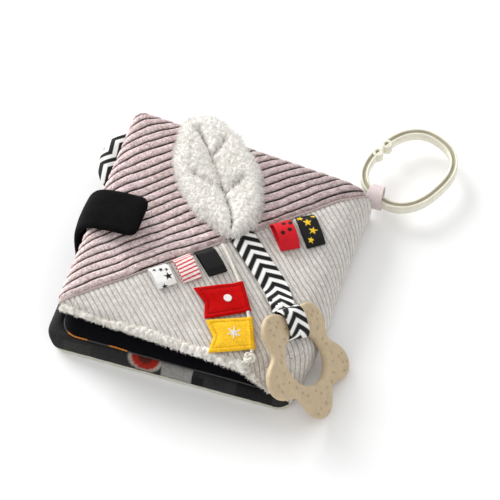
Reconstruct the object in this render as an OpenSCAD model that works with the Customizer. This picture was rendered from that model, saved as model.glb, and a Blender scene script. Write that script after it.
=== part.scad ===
// Soft fabric book for a baby: two padded covers round a block of padded
// pages, with a sewn leaf, ribbon tags, two felt pennants on a cord, a
// teething ring on a ribbon strap and an open link ring on a fabric loop.
// It lies on its back cover. +X is the spine, -X the open edge, +Y the head.
// Millimetres. Z = 0 is the underside of the back cover.

/* [Book] */
// Side of the square covers
cover_side = 160; // [150:1:170]
// Height of the front cover's seam at the open edge
fore_height = 45.5; // [44:0.5:50]
// Height that the front cover falls for each millimetre towards the spine
cover_fall = 0.1277; // [0.11:0.001:0.14]
// How far the back cover reaches out beyond the front one at the open edge
back_reach = 4; // [2:1:6]
// How far the back cover reaches out at the head and the tail
back_side_reach = 3; // [1:1:4]
// Radius of the covers' outer corners
corner_r = 10; // [6:1:14]

/* [Front cover] */
// How far the padding crowns above the seam
crown = 4; // [3:0.5:5]
// How far the lining bulges below the seam
belly = 5; // [4:0.5:6]
// Thickness of the cover fabrics
cloth_t = 1.2; // [0.8:0.1:1.5]
// Width of the slope from the seam up to the crown
slope_w = 7; // [5:1:10]

/* [Back cover and pages] */
// Thickness of the outer cloth of the back cover
back_cloth_t = 2; // [1.5:0.1:2.5]
// Height of the back cover's lining above the table
back_height = 8.5; // [7.5:0.5:9]
// Half width of the block of pages from head to tail
page_half = 77; // [74:1:79]

/* [Leaf] */
// Length of the sewn leaf
leaf_len = 90; // [84:1:94]
// Width of the sewn leaf
leaf_w = 50; // [44:1:54]
// Thickness of the sewn leaf
leaf_t = 10; // [7:1:12]

/* [Ribbons] */
// Width of the ribbon tags
tag_w = 12.5; // [10:0.5:14]
// Length of the ribbon tags
tag_len = 17; // [14:0.5:20]
// Width of the strap of the teething ring
strap_w = 16; // [12:0.5:18]
// Thickness of the strap
strap_t = 1.2; // [0.8:0.1:1.6]

/* [Pennants] */
// Length of the felt pennants
flag_len = 30; // [26:1:32]
// Height of the felt pennants
flag_h = 21; // [18:1:24]
// Thickness of the felt pennants
flag_t = 3.6; // [3.2:0.1:4.5]
// Diameter of the cord
cord_d = 2.4; // [2:0.1:3]

/* [Teething ring] */
// Distance from the middle of the ring to the middle of a lobe's curve
tooth_r = 33.6; // [32:0.1:36]
// Depth of the five lobes
tooth_wave = 5.8; // [5:0.1:7]
// Radius of the hole
tooth_hole_r = 17.2; // [15:0.1:18]
// Thickness of the teething ring
tooth_t = 5.6; // [5:0.1:7]
// Tilt of the ring as it leans on the spine
tooth_tilt = 45.5; // [44:0.5:47]

/* [Link ring] */
// Half width of the link ring at the middle of its band
link_half_w = 24.5; // [22:0.5:26]
// Half length of the link ring at the middle of its band
link_half_l = 30.7; // [28:0.1:33]
// Width of its band
link_band = 5; // [4:0.5:6]
// Height of its band
link_h = 7; // [6:0.5:8]

/* [Hidden] */
half = cover_side / 2;
tilt = atan(cover_fall);
mid_height = fore_height - cover_fall * half;
// seam height of the front cover at a place along X
function seam_z(x) = fore_height - cover_fall * (x + half);
// a place in the book's frame, seen in the front cover's own frame
function to_cover(p) = let (d = p - [0, 0, mid_height]) [d[0] * cos(tilt) - d[2] * sin(tilt), d[1], d[0] * sin(tilt) + d[2] * cos(tilt)];
// the front cover's ends along its own length
fore_u = -half / cos(tilt);
spine_u = 73;
// the line along which the two top fabrics are joined, and its direction
diag_a = atan2(half, -fore_u);

// the teething ring as it leans on the spine
tooth_c = [77.4, -59.3, 27.3];
// how far the ring is turned in its own plane
tooth_turn = -3.5;
function tooth_out(a) = tooth_r - tooth_wave * cos(5 * (a - tooth_turn)) - 0.5 * cos(10 * (a - tooth_turn));
function tooth_at(a, r, n) = tooth_c + [r * cos(a) * cos(tooth_tilt) + n * sin(tooth_tilt), r * sin(a), -r * cos(a) * sin(tooth_tilt) + n * cos(tooth_tilt)];

// the link ring as it lies in its loop
link_c = [95, 112.5, 11.5];
link_a = 64.6;
loop_c = [80.5, 86, 11.5];

// route of the cord, in the front cover's own frame
cord_pts = [[3.4, 0.6, 5.3], [5.6, -2, 5.8], [9, -6, 6.2], [12.4, -10, 6.2], [15.8, -14.2, 6.2], [19.2, -18.6, 6.2], [22.6, -22.8, 6.2], [25.1, -26.8, 6.2], [27.6, -30.8, 6.2], [30.1, -34.8, 6.2], [32.6, -38.8, 6.2], [34.6, -42.2, 6.2], [36.4, -45.8, 6.2], [38.2, -50.2, 6.2], [40, -54.6, 6.2], [41.8, -59, 6.2], [43.6, -63.4, 6.2], [45.4, -67.8, 6.2], [46, -70.2, 6.2]];

module on_cover() { translate([0, 0, mid_height]) rotate([0, tilt, 0]) children(); }

// a rounded rectangle from one corner to the other, every corner round
module round_rect(x0, y0, x1, y1, r) {
    translate([x0 + r, y0]) square([x1 - x0 - 2 * r, y1 - y0]);
    translate([x0, y0 + r]) square([x1 - x0, y1 - y0 - 2 * r]);
    for (x = [x0 + r, x1 - r], y = [y0 + r, y1 - r]) translate([x, y]) circle(r, $fn = 32);
}

// the front cover's outline, inset by d
module cover_outline(d) { round_rect(fore_u + d, -half + d, spine_u - d, half - d, corner_r - d / 2); }

// a padded half shell that slopes from the seam at w = 0 to its crown at h
module pad_half(h, inset, in0) {
    hull() {
        translate([0, 0, h > 0 ? 0 : -0.02]) linear_extrude(0.02) cover_outline(in0);
        translate([0, 0, h > 0 ? h - 0.02 : h]) linear_extrude(0.02) cover_outline(inset);
    }
}

module top_cloth() {
    difference() {
        pad_half(crown, slope_w, 0);
        translate([0, 0, -0.01]) pad_half(crown - cloth_t, slope_w, 2.2);
    }
}

// all that lies on the head side of the join between the two top fabrics
module head_side(z0, z1) {
    translate([fore_u, -half, z0]) rotate([0, 0, diag_a]) translate([-20, 0, 0]) cube([300, 200, z1 - z0]);
}

module cover_wide_corduroy() {
    color([0.78, 0.70, 0.69]) on_cover() intersection() { top_cloth(); head_side(-1, crown + 1); }
}

module cover_narrow_corduroy() {
    color([0.77, 0.75, 0.73]) on_cover() difference() { top_cloth(); head_side(-1, crown + 1); }
}

module cover_wadding() {
    color([0.96, 0.96, 0.95]) on_cover() {
        pad_half(crown - cloth_t - 0.1, slope_w + 0.4, 2.6);
        pad_half(-(belly - cloth_t - 0.1), slope_w + 0.4, 2.6);
    }
}

module cover_lining() {
    color([0.06, 0.06, 0.06]) on_cover() difference() {
        pad_half(-belly, slope_w, 0);
        translate([0, 0, 0.01]) pad_half(-(belly - cloth_t), slope_w, 2.2);
    }
}

// The back cover: outer cloth on the table, wadding, and a lining drawn over it
module back_plate(inset, z0, z1) {
    translate([0, 0, z0]) linear_extrude(z1 - z0)
        round_rect(-half - back_reach + inset, -half - back_side_reach + inset, 75 - inset, half + back_side_reach - inset, corner_r - inset / 2);
}

module back_cover_cloth() { color([0.80, 0.79, 0.76]) back_plate(0, 0, back_cloth_t); }

module back_cover_wadding() { color([0.96, 0.96, 0.95]) back_plate(2.4, back_cloth_t, back_height - cloth_t); }

module back_cover_lining() {
    color([0.20, 0.20, 0.20]) difference() {
        back_plate(0.6, back_cloth_t, back_height);
        back_plate(2.4, back_cloth_t - 1, back_height - cloth_t);
    }
}

// The pages, one padded block that narrows to the spine
module page_block() {
    z0 = back_height + 0.2;
    low = belly + 0.7;
    color([0.05, 0.05, 0.06]) translate([0, page_half, 0]) rotate([90, 0, 0]) linear_extrude(2 * page_half)
        polygon([[-72, z0], [64, z0], [69, z0 + 4], [69, 17], [65, seam_z(65) - low],
                 [-70, seam_z(-70) - low], [-76, seam_z(-76) - low - 3], [-78.5, 30], [-78.5, 18], [-76, z0 + 3]]);
}

// The spine cloth, from the front cover's edge round to the back cover
spine_out = [[73.0, 25.9], [76.0, 23.2], [78.5, 19.6], [80.2, 15.2], [80.8, 10.6], [80.2, 6.2], [78.2, 2.6], [75.2, 0.3]];
spine_in = [[75.2, 2.0], [76.9, 3.9], [78.6, 7.0], [79.1, 10.6], [78.6, 14.6], [77.0, 18.6], [74.8, 21.8], [73.0, 23.6]];
module spine_cloth() {
    color([0.77, 0.75, 0.73]) translate([0, 77.4, 0]) rotate([90, 0, 0]) linear_extrude(156.4)
        polygon(concat(spine_out, spine_in));
}

// The fabric loop at the head of the spine, which holds the link ring
module hang_loop() {
    color([0.84, 0.79, 0.79]) translate(loop_c) rotate([0, 90, 0]) difference() {
        cylinder(h = 11, r = 8.5, center = true, $fn = 48);
        cylinder(h = 12, r = 7.3, center = true, $fn = 48);
    }
}

// A ribbon tab folded double, sewn in at the open edge
module chevron_tab() {
    color([0.90, 0.90, 0.90]) translate([0, 0, 29]) linear_extrude(8) intersection() {
        translate([-78.6, 48]) scale([0.62, 1]) circle(24, $fn = 64);
        translate([-94, 20]) square([15.4, 60]);
    }
}

// The closure tab: from the back cover up round the open edge and over the front cover
tab_y0 = -21;
tab_y1 = 10;
tab_out = [[-84.6, 2.2], [-87, 8], [-88.2, 18], [-88.4, 30], [-87.6, 41], [-84.8, 49.5], [-79, 54.2], [-72, 56.2], [-60, 57.2], [-50, 58], [-46.6, 56.6]];
tab_in = [[-46.8, 52.6], [-50, 51.6], [-60, 51.4], [-70, 51.4], [-77, 51.0], [-81.6, 47], [-84, 40], [-84.8, 30], [-84.6, 18], [-84.3, 9], [-84.2, 2.2]];
module closure_tab() {
    color([0.05, 0.05, 0.05]) translate([0, tab_y1, 0]) rotate([90, 0, 0]) linear_extrude(tab_y1 - tab_y0)
        polygon(concat(tab_out, tab_in));
}

// The closure's two patches, one under the tab and one on the cover
module closure_hook_patch() {
    color([0.05, 0.05, 0.05]) translate([-66, -16, 50.1]) cube([14, 21, 1.3]);
}

module closure_loop_patch() {
    color([0.08, 0.08, 0.08]) on_cover() translate([-66.5, -16, crown]) cube([15, 21, 1]);
}

// The leaf, a padded sherpa applique on the front cover, tip towards the head
function leaf_half(t) = leaf_w / 2 * pow(sin(180 * pow(t, 0.86)), 0.62);
leaf_n = 24;
module leaf_shape(s) {
    polygon(concat([for (i = [0:leaf_n]) [leaf_len * i / leaf_n * s - leaf_len * (s - 1) / 2, leaf_half(i / leaf_n) * s]],
                   [for (i = [leaf_n - 1:-1:1]) [leaf_len * i / leaf_n * s - leaf_len * (s - 1) / 2, -leaf_half(i / leaf_n) * s]]));
}
module sherpa_leaf() {
    color([0.90, 0.89, 0.86]) on_cover() translate([11.5, 10, crown]) rotate([0, 0, 122.5]) {
        linear_extrude(leaf_t * 0.45) leaf_shape(1);
        translate([0, 0, leaf_t * 0.45]) linear_extrude(leaf_t * 0.33) leaf_shape(0.92);
        translate([0, 0, leaf_t * 0.78]) linear_extrude(leaf_t * 0.22) leaf_shape(0.76);
    }
}

// A ribbon tag folded double, sewn into the join; s is the place along the join
module folded_tag(s, tint, lift) {
    // side view of the fold: two leaves of ribbon joined at the far end
    color(tint) on_cover() translate([fore_u, -half, 0]) rotate([0, 0, diag_a]) translate([s, -tag_len, crown + 0.1])
        rotate([90, 0, 90]) linear_extrude(tag_w)
            polygon([[0.6, 0], [tag_len - 0.2, 0], [tag_len - 0.2, 0.8], [1.6, 0.8], [1.4, lift + 0.9], [tag_len - 4, lift + 0.9], [tag_len - 0.2, 1.2],
                     [tag_len - 0.2, 2.4], [tag_len - 3.4, lift + 2], [1, lift + 2], [0, lift + 1], [0, 0.8]]);
}

module star_tag() { folded_tag(62.5, [0.93, 0.92, 0.90], 1.6); }
module stripe_tag() { folded_tag(79, [0.85, 0.30, 0.33], 1.6); }
module plain_tag() { folded_tag(94.5, [0.06, 0.06, 0.06], 1.4); }
module dot_tag() { folded_tag(151.5, [0.84, 0.12, 0.20], 4.5); }
module gold_star_tag() { folded_tag(169.5, [0.06, 0.06, 0.06], 1.4); }

// The cord of the pennants: rings of eight points swept along its route
function unit(v) = v / norm(v);
function along(p, i) = unit((i == 0) ? p[1] - p[0] : (i == len(p) - 1) ? p[i] - p[i - 1] : unit(p[i + 1] - p[i]) + unit(p[i] - p[i - 1]));
function ring_at(p, i, r, n) = let (t = along(p, i), a = unit(cross(t, [0, 0, 1])), b = cross(a, t)) [for (k = [0:n - 1]) p[i] + r * (cos(360 * k / n) * a + sin(360 * k / n) * b)];
module tube(p, r, n) {
    m = len(p);
    pts = [for (i = [0:m - 1]) each ring_at(p, i, r, n)];
    sides = [for (i = [0:m - 2], k = [0:n - 1]) [i * n + k, i * n + (k + 1) % n, (i + 1) * n + (k + 1) % n, (i + 1) * n + k]];
    polyhedron(points = pts, faces = concat([[for (k = [n - 1:-1:0]) k]], sides, [[for (k = [0:n - 1]) (m - 1) * n + k]]), convexity = 6);
}
module flag_cord() { color([0.93, 0.92, 0.88]) on_cover() tube(cord_pts, cord_d / 2, 8); }

module cord_knot() {
    color([0.93, 0.92, 0.88]) on_cover() translate([46, -73.6, 6.4]) rotate([90, 0, 0])
        cylinder(h = 5.4, r = 2.3, center = true, $fn = 20);
}

// A felt pennant with a swallow tail and a sleeve for the cord along its straight edge
module pennant(p, q, s0, s1, more, tint) {
    // p and q are the ends of the sleeve, on the cord; s0 and s1 slide the tail's corners along it, more lengthens them
    a = atan2(q[1] - p[1], q[0] - p[0]);
    l = norm([q[0] - p[0], q[1] - p[1]]);
    color(tint) on_cover() translate([p[0], p[1], p[2]]) rotate([0, 0, a]) difference() {
        translate([0, 0, -flag_t / 2]) linear_extrude(flag_t)
            polygon([[0, 2.4], [l, 2.4], [l + s1, -flag_len + 2.4 - more / 3], [(l + s0 + s1) / 2, -flag_len + 6.3 - more * 2 / 3], [s0, -flag_len + 2.4 - more]]);
        translate([-1, 0, 0]) rotate([0, 90, 0]) cylinder(h = l + 2, r = cord_d / 2 + 0.25, $fn = 24);
    }
}
red_a = [22.6, -22.8, 6.2];
red_b = [34.2, -41.5, 6.2];
yel_a = [36.4, -45.8, 6.2];
yel_b = [45.4, -67.8, 6.2];
module red_pennant() { pennant(red_a, red_b, 0, 1.2, 2.7, [0.78, 0.08, 0.08]); }
module yellow_pennant() { pennant(yel_a, yel_b, 2.5, 2.5, 0, [0.95, 0.76, 0.20]); }

// A flat length of ribbon from p to q, its flat side facing about n
module ribbon(p, q, n, w, t) {
    d = unit(q - p);
    s = unit(cross(n, d));
    m = cross(d, s);
    multmatrix([[d[0], s[0], m[0], p[0]], [d[1], s[1], m[1], p[1]], [d[2], s[2], m[2], p[2]], [0, 0, 0, 1]])
        translate([0, -w / 2, -t / 2]) cube([norm(q - p), w, t]);
}

// The strap: flat from under the leaf, then up to the teething ring, and once round its rim
strap_root = [17.6, 9.1, crown + 0.9];
strap_lift = [46.5, -16.8, crown + 0.9];
strap_turn = to_cover([52.9, -33.2, 41]);
strap_rim = to_cover(tooth_at(144 + tooth_turn, 32.4, 0));
strap_side = [-0.6, 0.35, 0.9];
module strap() {
    g = tooth_t / 2 + 0.3;
    w = strap_w - 2;
    color([0.50, 0.50, 0.50]) {
        on_cover() ribbon(strap_root, strap_lift, [0, 0, 1], strap_w, strap_t);
        on_cover() ribbon(strap_lift - 0.7 * unit(strap_turn - strap_lift), strap_turn, [0, 0, 1], w, strap_t);
        on_cover() ribbon(strap_turn - 1.2 * unit(strap_rim - strap_turn), strap_rim, strap_side, w, strap_t);
        translate(tooth_c) rotate([0, tooth_tilt, 0]) rotate([0, 0, 144 + tooth_turn]) translate([0, -w / 2, 0]) difference() {
            translate([13.8, 0, -g - strap_t]) cube([18.6, w, 2 * g + 2 * strap_t]);
            translate([15, -1, -g]) cube([16.2, w + 2, 2 * g]);
        }
    }
}

// The press snap that closes the strap's loop
module snap_place() {
    d = unit(strap_turn - strap_lift);
    s = unit(cross([0, 0, 1], d));
    m = cross(d, s);
    c = strap_turn - 6 * d;
    multmatrix([[d[0], s[0], m[0], c[0]], [d[1], s[1], m[1], c[1]], [d[2], s[2], m[2], c[2]], [0, 0, 0, 1]]) children();
}
module snap_cap() { color([0.95, 0.95, 0.95]) on_cover() snap_place() translate([0, 0, strap_t / 2 + 0.05]) cylinder(h = 1.4, r = 3.2, $fn = 32); }
module snap_stud() { color([0.95, 0.95, 0.95]) on_cover() snap_place() translate([0, 0, -strap_t / 2 - 1.45]) cylinder(h = 1.4, r = 3.2, $fn = 32); }

// The teething ring: five round lobes about a round hole
module teething_ring() {
    color([0.82, 0.75, 0.61]) translate(tooth_c) rotate([0, tooth_tilt, 0]) difference() {
        translate([0, 0, -tooth_t / 2]) linear_extrude(tooth_t)
            polygon([for (a = [0:4:356]) tooth_out(a) * [cos(a), sin(a)]]);
        cylinder(h = tooth_t + 2, r = tooth_hole_r, center = true, $fn = 64);
    }
}

// The link ring: an oval band with a gap between two small round eyes
function oval(a, w, l, n = 2.4) = let (c = cos(a), s = sin(a), k = pow(pow(abs(c) / l, n) + pow(abs(s) / w, n), -1 / n)) k * [c, s];
module link_ring() {
    color([0.90, 0.88, 0.80]) translate(link_c) rotate([0, 0, link_a]) translate([0, 0, -link_h / 2]) {
        linear_extrude(link_h) difference() {
            polygon([for (a = [0:5:355]) oval(a, link_half_w + link_band / 2, link_half_l + link_band / 2)]);
            polygon([for (a = [0:5:355]) oval(a, link_half_w - link_band / 2, link_half_l - link_band / 2)]);
            translate([-3.2, link_half_w - 4]) square([6.4, 8]);
        }
        for (x = [-4.4, 4.4]) translate([x, link_half_w - 1, 0]) difference() {
            cylinder(h = link_h, r = 3.6, $fn = 32);
            translate([0, 0, link_h - 3]) cylinder(h = 4, r = 1.4, $fn = 24);
        }
    }
}

back_cover_cloth();
back_cover_wadding();
back_cover_lining();
page_block();
spine_cloth();
hang_loop();
chevron_tab();
closure_tab();
closure_hook_patch();
cover_wide_corduroy();
cover_narrow_corduroy();
cover_wadding();
cover_lining();
closure_loop_patch();
sherpa_leaf();
star_tag();
stripe_tag();
plain_tag();
dot_tag();
gold_star_tag();
flag_cord();
cord_knot();
red_pennant();
yellow_pennant();
strap();
snap_cap();
snap_stud();
teething_ring();
link_ring();
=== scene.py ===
import math

import bpy
import numpy as np
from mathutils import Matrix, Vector


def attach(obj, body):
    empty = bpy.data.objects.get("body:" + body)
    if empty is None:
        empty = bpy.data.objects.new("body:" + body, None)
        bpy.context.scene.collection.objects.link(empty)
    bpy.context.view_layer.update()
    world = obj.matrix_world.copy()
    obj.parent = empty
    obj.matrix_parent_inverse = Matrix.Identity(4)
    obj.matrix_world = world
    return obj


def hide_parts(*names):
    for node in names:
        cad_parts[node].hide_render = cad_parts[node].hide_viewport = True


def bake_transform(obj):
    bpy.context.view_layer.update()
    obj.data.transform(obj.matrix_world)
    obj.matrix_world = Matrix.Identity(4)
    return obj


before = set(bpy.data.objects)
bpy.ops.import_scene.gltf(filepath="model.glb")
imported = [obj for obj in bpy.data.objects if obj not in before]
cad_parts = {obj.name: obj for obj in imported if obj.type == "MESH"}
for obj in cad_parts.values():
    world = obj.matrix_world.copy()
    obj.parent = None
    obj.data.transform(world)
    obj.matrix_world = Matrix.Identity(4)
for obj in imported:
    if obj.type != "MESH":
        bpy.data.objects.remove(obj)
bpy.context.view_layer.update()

MM = 0.001

# ---------------------------------------------------------------- small tools


def smooth(x, lo=0.0, hi=1.0):
    t = np.clip((np.asarray(x, float) - lo) / (hi - lo), 0, 1)
    return t * t * (3 - 2 * t)


def hash01(*k, seed=0):
    n = np.zeros(np.broadcast(*k).shape, np.int64) + seed * 974711
    for i, v in enumerate(k):
        n = (n ^ (np.asarray(v, np.int64) * (73856093, 19349663, 83492791)[i])) & 0xFFFFFFFF
        n = (n * 1103515245 + 12345) & 0xFFFFFFFF
        n = n ^ (n >> 15)
    n = (n * 2246822519) & 0xFFFFFFFF
    n = n ^ (n >> 13)
    return (n & 0xFFFFF) / float(0xFFFFF)


def noise2(x, y, seed=0):
    """Value noise of two coordinates, from -1 to 1."""
    xi, yi = np.floor(x).astype(np.int64), np.floor(y).astype(np.int64)
    fx, fy = x - xi, y - yi
    fx, fy = fx * fx * (3 - 2 * fx), fy * fy * (3 - 2 * fy)
    a, b = hash01(xi, yi, seed=seed), hash01(xi + 1, yi, seed=seed)
    c, d = hash01(xi, yi + 1, seed=seed), hash01(xi + 1, yi + 1, seed=seed)
    return 2 * ((a * (1 - fx) + b * fx) * (1 - fy) + (c * (1 - fx) + d * fx) * fy) - 1


def noise3(p, seed=0):
    """Value noise of points, from -1 to 1."""
    i = np.floor(p).astype(np.int64)
    f = p - i
    f = f * f * (3 - 2 * f)
    out = 0
    for dx in (0, 1):
        for dy in (0, 1):
            for dz in (0, 1):
                w = (f[..., 0] if dx else 1 - f[..., 0]) * (f[..., 1] if dy else 1 - f[..., 1]) * (f[..., 2] if dz else 1 - f[..., 2])
                out = out + w * hash01(i[..., 0] + dx, i[..., 1] + dy, i[..., 2] + dz, seed=seed)
    return 2 * out - 1


def cells(x, y, seed=0):
    """Distance to the nearest of one jittered point in each unit square."""
    xi, yi = np.floor(x).astype(np.int64), np.floor(y).astype(np.int64)
    best = np.full(np.shape(x), 9.0)
    for dx in (-1, 0, 1):
        for dy in (-1, 0, 1):
            px = xi + dx + 0.15 + 0.7 * hash01(xi + dx, yi + dy, seed=seed)
            py = yi + dy + 0.15 + 0.7 * hash01(xi + dx, yi + dy, seed=seed + 5)
            best = np.minimum(best, np.hypot(x - px, y - py))
    return best


def lin(c):
    """sRGB 0-255 to linear."""
    c = np.asarray(c, float) / 255
    return np.where(c <= 0.04045, c / 12.92, ((c + 0.055) / 1.055) ** 2.4)


def make(name, verts, quads, tris=None, mats=(), col=None, face_mat=None, flat=False):
    """A mesh object from points in millimetres and arrays of faces."""
    verts = np.asarray(verts, float).reshape(-1, 3) * MM
    quads = np.asarray(quads, np.int64).reshape(-1, 4) if quads is not None and len(quads) else np.zeros((0, 4), np.int64)
    tris = np.asarray(tris, np.int64).reshape(-1, 3) if tris is not None and len(tris) else np.zeros((0, 3), np.int64)
    me = bpy.data.meshes.new(name)
    me.vertices.add(len(verts))
    me.vertices.foreach_set("co", verts.astype(np.float32).ravel())
    loops = np.concatenate([quads.ravel(), tris.ravel()])
    me.loops.add(len(loops))
    me.loops.foreach_set("vertex_index", loops.astype(np.int32))
    nq, nt = len(quads), len(tris)
    me.polygons.add(nq + nt)
    starts = np.concatenate([np.arange(nq) * 4, nq * 4 + np.arange(nt) * 3])
    me.polygons.foreach_set("loop_start", starts.astype(np.int32))
    me.polygons.foreach_set("loop_total", np.concatenate([np.full(nq, 4), np.full(nt, 3)]).astype(np.int32))
    if face_mat is not None:
        me.polygons.foreach_set("material_index", np.asarray(face_mat, np.int32))
    me.update(calc_edges=True)
    me.validate()
    if not flat:
        me.polygons.foreach_set("use_smooth", np.ones(len(me.polygons), bool))
    if col is not None:
        rgba = np.ones((len(verts), 4), np.float32)
        rgba[:, :3] = np.asarray(col, float).reshape(-1, 3)
        at = me.color_attributes.new("Tint", "FLOAT_COLOR", "POINT")
        at.data.foreach_set("color", rgba.ravel())
    ob = bpy.data.objects.new(name, me)
    bpy.context.scene.collection.objects.link(ob)
    for m in mats:
        me.materials.append(m)
    return ob


def quads_of(n, m, wrap_n=False, wrap_m=False, flip=False, base=0):
    i = np.arange(n if wrap_n else n - 1)
    j = np.arange(m if wrap_m else m - 1)
    I, J = np.meshgrid(i, j, indexing="ij")
    a = I * m + J
    b = ((I + 1) % n) * m + J
    c = ((I + 1) % n) * m + (J + 1) % m
    d = I * m + (J + 1) % m
    q = np.stack([a, b, c, d], -1).reshape(-1, 4) + base
    return q[:, ::-1] if flip else q


def normals_of(P, wrap_n=False, wrap_m=False):
    """Normals of a grid of points (n, m, 3)."""
    def diff(A, axis, wrap):
        if wrap:
            return np.roll(A, -1, axis) - np.roll(A, 1, axis)
        return np.gradient(A, axis=axis)
    N = np.cross(diff(P, 0, wrap_n), diff(P, 1, wrap_m))
    return N / (np.linalg.norm(N, axis=-1, keepdims=True) + 1e-12)


def join_parts(parts):
    """[(verts, quads, tris, col, mat)] into one set of arrays."""
    V, Q, R, C, FQ, FT, base = [], [], [], [], [], [], 0
    for v, q, t, c, m in parts:
        v = np.asarray(v, float).reshape(-1, 3)
        V.append(v)
        if q is not None and len(q):
            q = np.asarray(q).reshape(-1, 4)
            Q.append(q + base)
            FQ.append(np.full(len(q), m))
        if t is not None and len(t):
            t = np.asarray(t).reshape(-1, 3)
            R.append(t + base)
            FT.append(np.full(len(t), m))
        C.append(np.ones((len(v), 3)) * (c if c is not None else (1, 1, 1)) if np.ndim(c) != 2 else c)
        base += len(v)
    Q = np.concatenate(Q) if Q else np.zeros((0, 4), int)
    R = np.concatenate(R) if R else np.zeros((0, 3), int)
    return np.concatenate(V), Q, R, np.concatenate(C), np.concatenate(FQ + FT)


def tube_parts(pts, r, n=10, twist=0.0, caps=True, lobes=0, lobe=0.0):
    """A tube along points in millimetres, with rounded rope lobes if asked."""
    pts = np.asarray(pts, float)
    m = len(pts)
    tan = np.gradient(pts, axis=0)
    tan /= np.linalg.norm(tan, axis=1, keepdims=True)
    up = np.array([0.0, 0.0, 1.0])
    s = np.cross(tan, up)
    bad = np.linalg.norm(s, axis=1) < 1e-3
    s[bad] = np.cross(tan[bad], [1.0, 0, 0])
    s /= np.linalg.norm(s, axis=1, keepdims=True)
    b = np.cross(s, tan)
    arc = np.concatenate([[0], np.cumsum(np.linalg.norm(np.diff(pts, axis=0), axis=1))])
    k = np.arange(n) * 2 * np.pi / n
    r = np.broadcast_to(np.asarray(r, float), (m,))
    rr = r[:, None] * (1 + lobe * np.cos(lobes * (k[None, :] + twist * arc[:, None]))) if lobes else np.repeat(r[:, None], n, 1)
    V = pts[:, None, :] + rr[..., None] * (np.cos(k)[None, :, None] * s[:, None, :] + np.sin(k)[None, :, None] * b[:, None, :])
    Q = quads_of(m, n, wrap_m=True)
    V = V.reshape(-1, 3)
    T = []
    if caps:
        V = np.vstack([V, pts[0], pts[-1]])
        a, z = m * n, m * n + 1
        for i in range(n):
            T.append((a, i, (i + 1) % n))
            T.append((z, (m - 1) * n + (i + 1) % n, (m - 1) * n + i))
    return V, Q, T


def hairs(name, roots, dirs, length, r0, mats, col, seed, curl=0.5):
    """Short tapered, curved fibres: three sides and three steps each."""
    g = np.random.default_rng(seed)
    n = len(roots)
    d = dirs / (np.linalg.norm(dirs, axis=1, keepdims=True) + 1e-9)
    a = np.cross(d, np.array([0.31, 0.52, 0.79]))
    a /= np.linalg.norm(a, axis=1, keepdims=True) + 1e-9
    b = np.cross(d, a)
    ph = g.uniform(0, 2 * np.pi, n)
    bend = (np.cos(ph)[:, None] * a + np.sin(ph)[:, None] * b) * curl
    L = length * g.uniform(0.55, 1.15, n)
    V = []
    for t in (0.0, 0.4, 0.75, 1.0):
        c = roots + (d * t + bend * t * t) * L[:, None]
        r = r0 * (1 - 0.8 * t)
        for k in range(3):
            w = 2 * np.pi * k / 3
            V.append(c + r * (math.cos(w) * a + math.sin(w) * b))
    V = np.array(V)
    V = V.transpose(1, 0, 2).reshape(-1, 3)
    base = np.arange(n)[:, None] * 12
    q = []
    for i in range(3):
        for k in range(3):
            q.append(np.stack([base[:, 0] + i * 3 + k, base[:, 0] + i * 3 + (k + 1) % 3, base[:, 0] + (i + 1) * 3 + (k + 1) % 3, base[:, 0] + (i + 1) * 3 + k], -1))
    q = np.concatenate(q)
    c = np.repeat(np.asarray(col, float).reshape(-1, 3) * np.ones((n, 3)) * g.uniform(0.9, 1.06, (n, 1)), 12, 0)
    t = np.concatenate([base + [9, 10, 11]])
    return make(name, V, q, t, mats=mats, col=c)


def smooth_path(pts, step=1.0):
    """A Catmull-Rom path through points, sampled at about a step."""
    p = np.asarray(pts, float)
    p = np.vstack([2 * p[0] - p[1], p, 2 * p[-1] - p[-2]])
    out = []
    for i in range(1, len(p) - 2):
        n = max(2, int(np.linalg.norm(p[i + 1] - p[i]) / step))
        for t in np.arange(n) / n:
            out.append(0.5 * (2 * p[i] + (p[i + 1] - p[i - 1]) * t + (2 * p[i - 1] - 5 * p[i] + 4 * p[i + 1] - p[i + 2]) * t * t
                              + (3 * p[i] - p[i - 1] - 3 * p[i + 1] + p[i + 2]) * t ** 3))
    out.append(p[-2])
    return np.array(out)


# ---------------------------------------------------------------- materials


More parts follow.
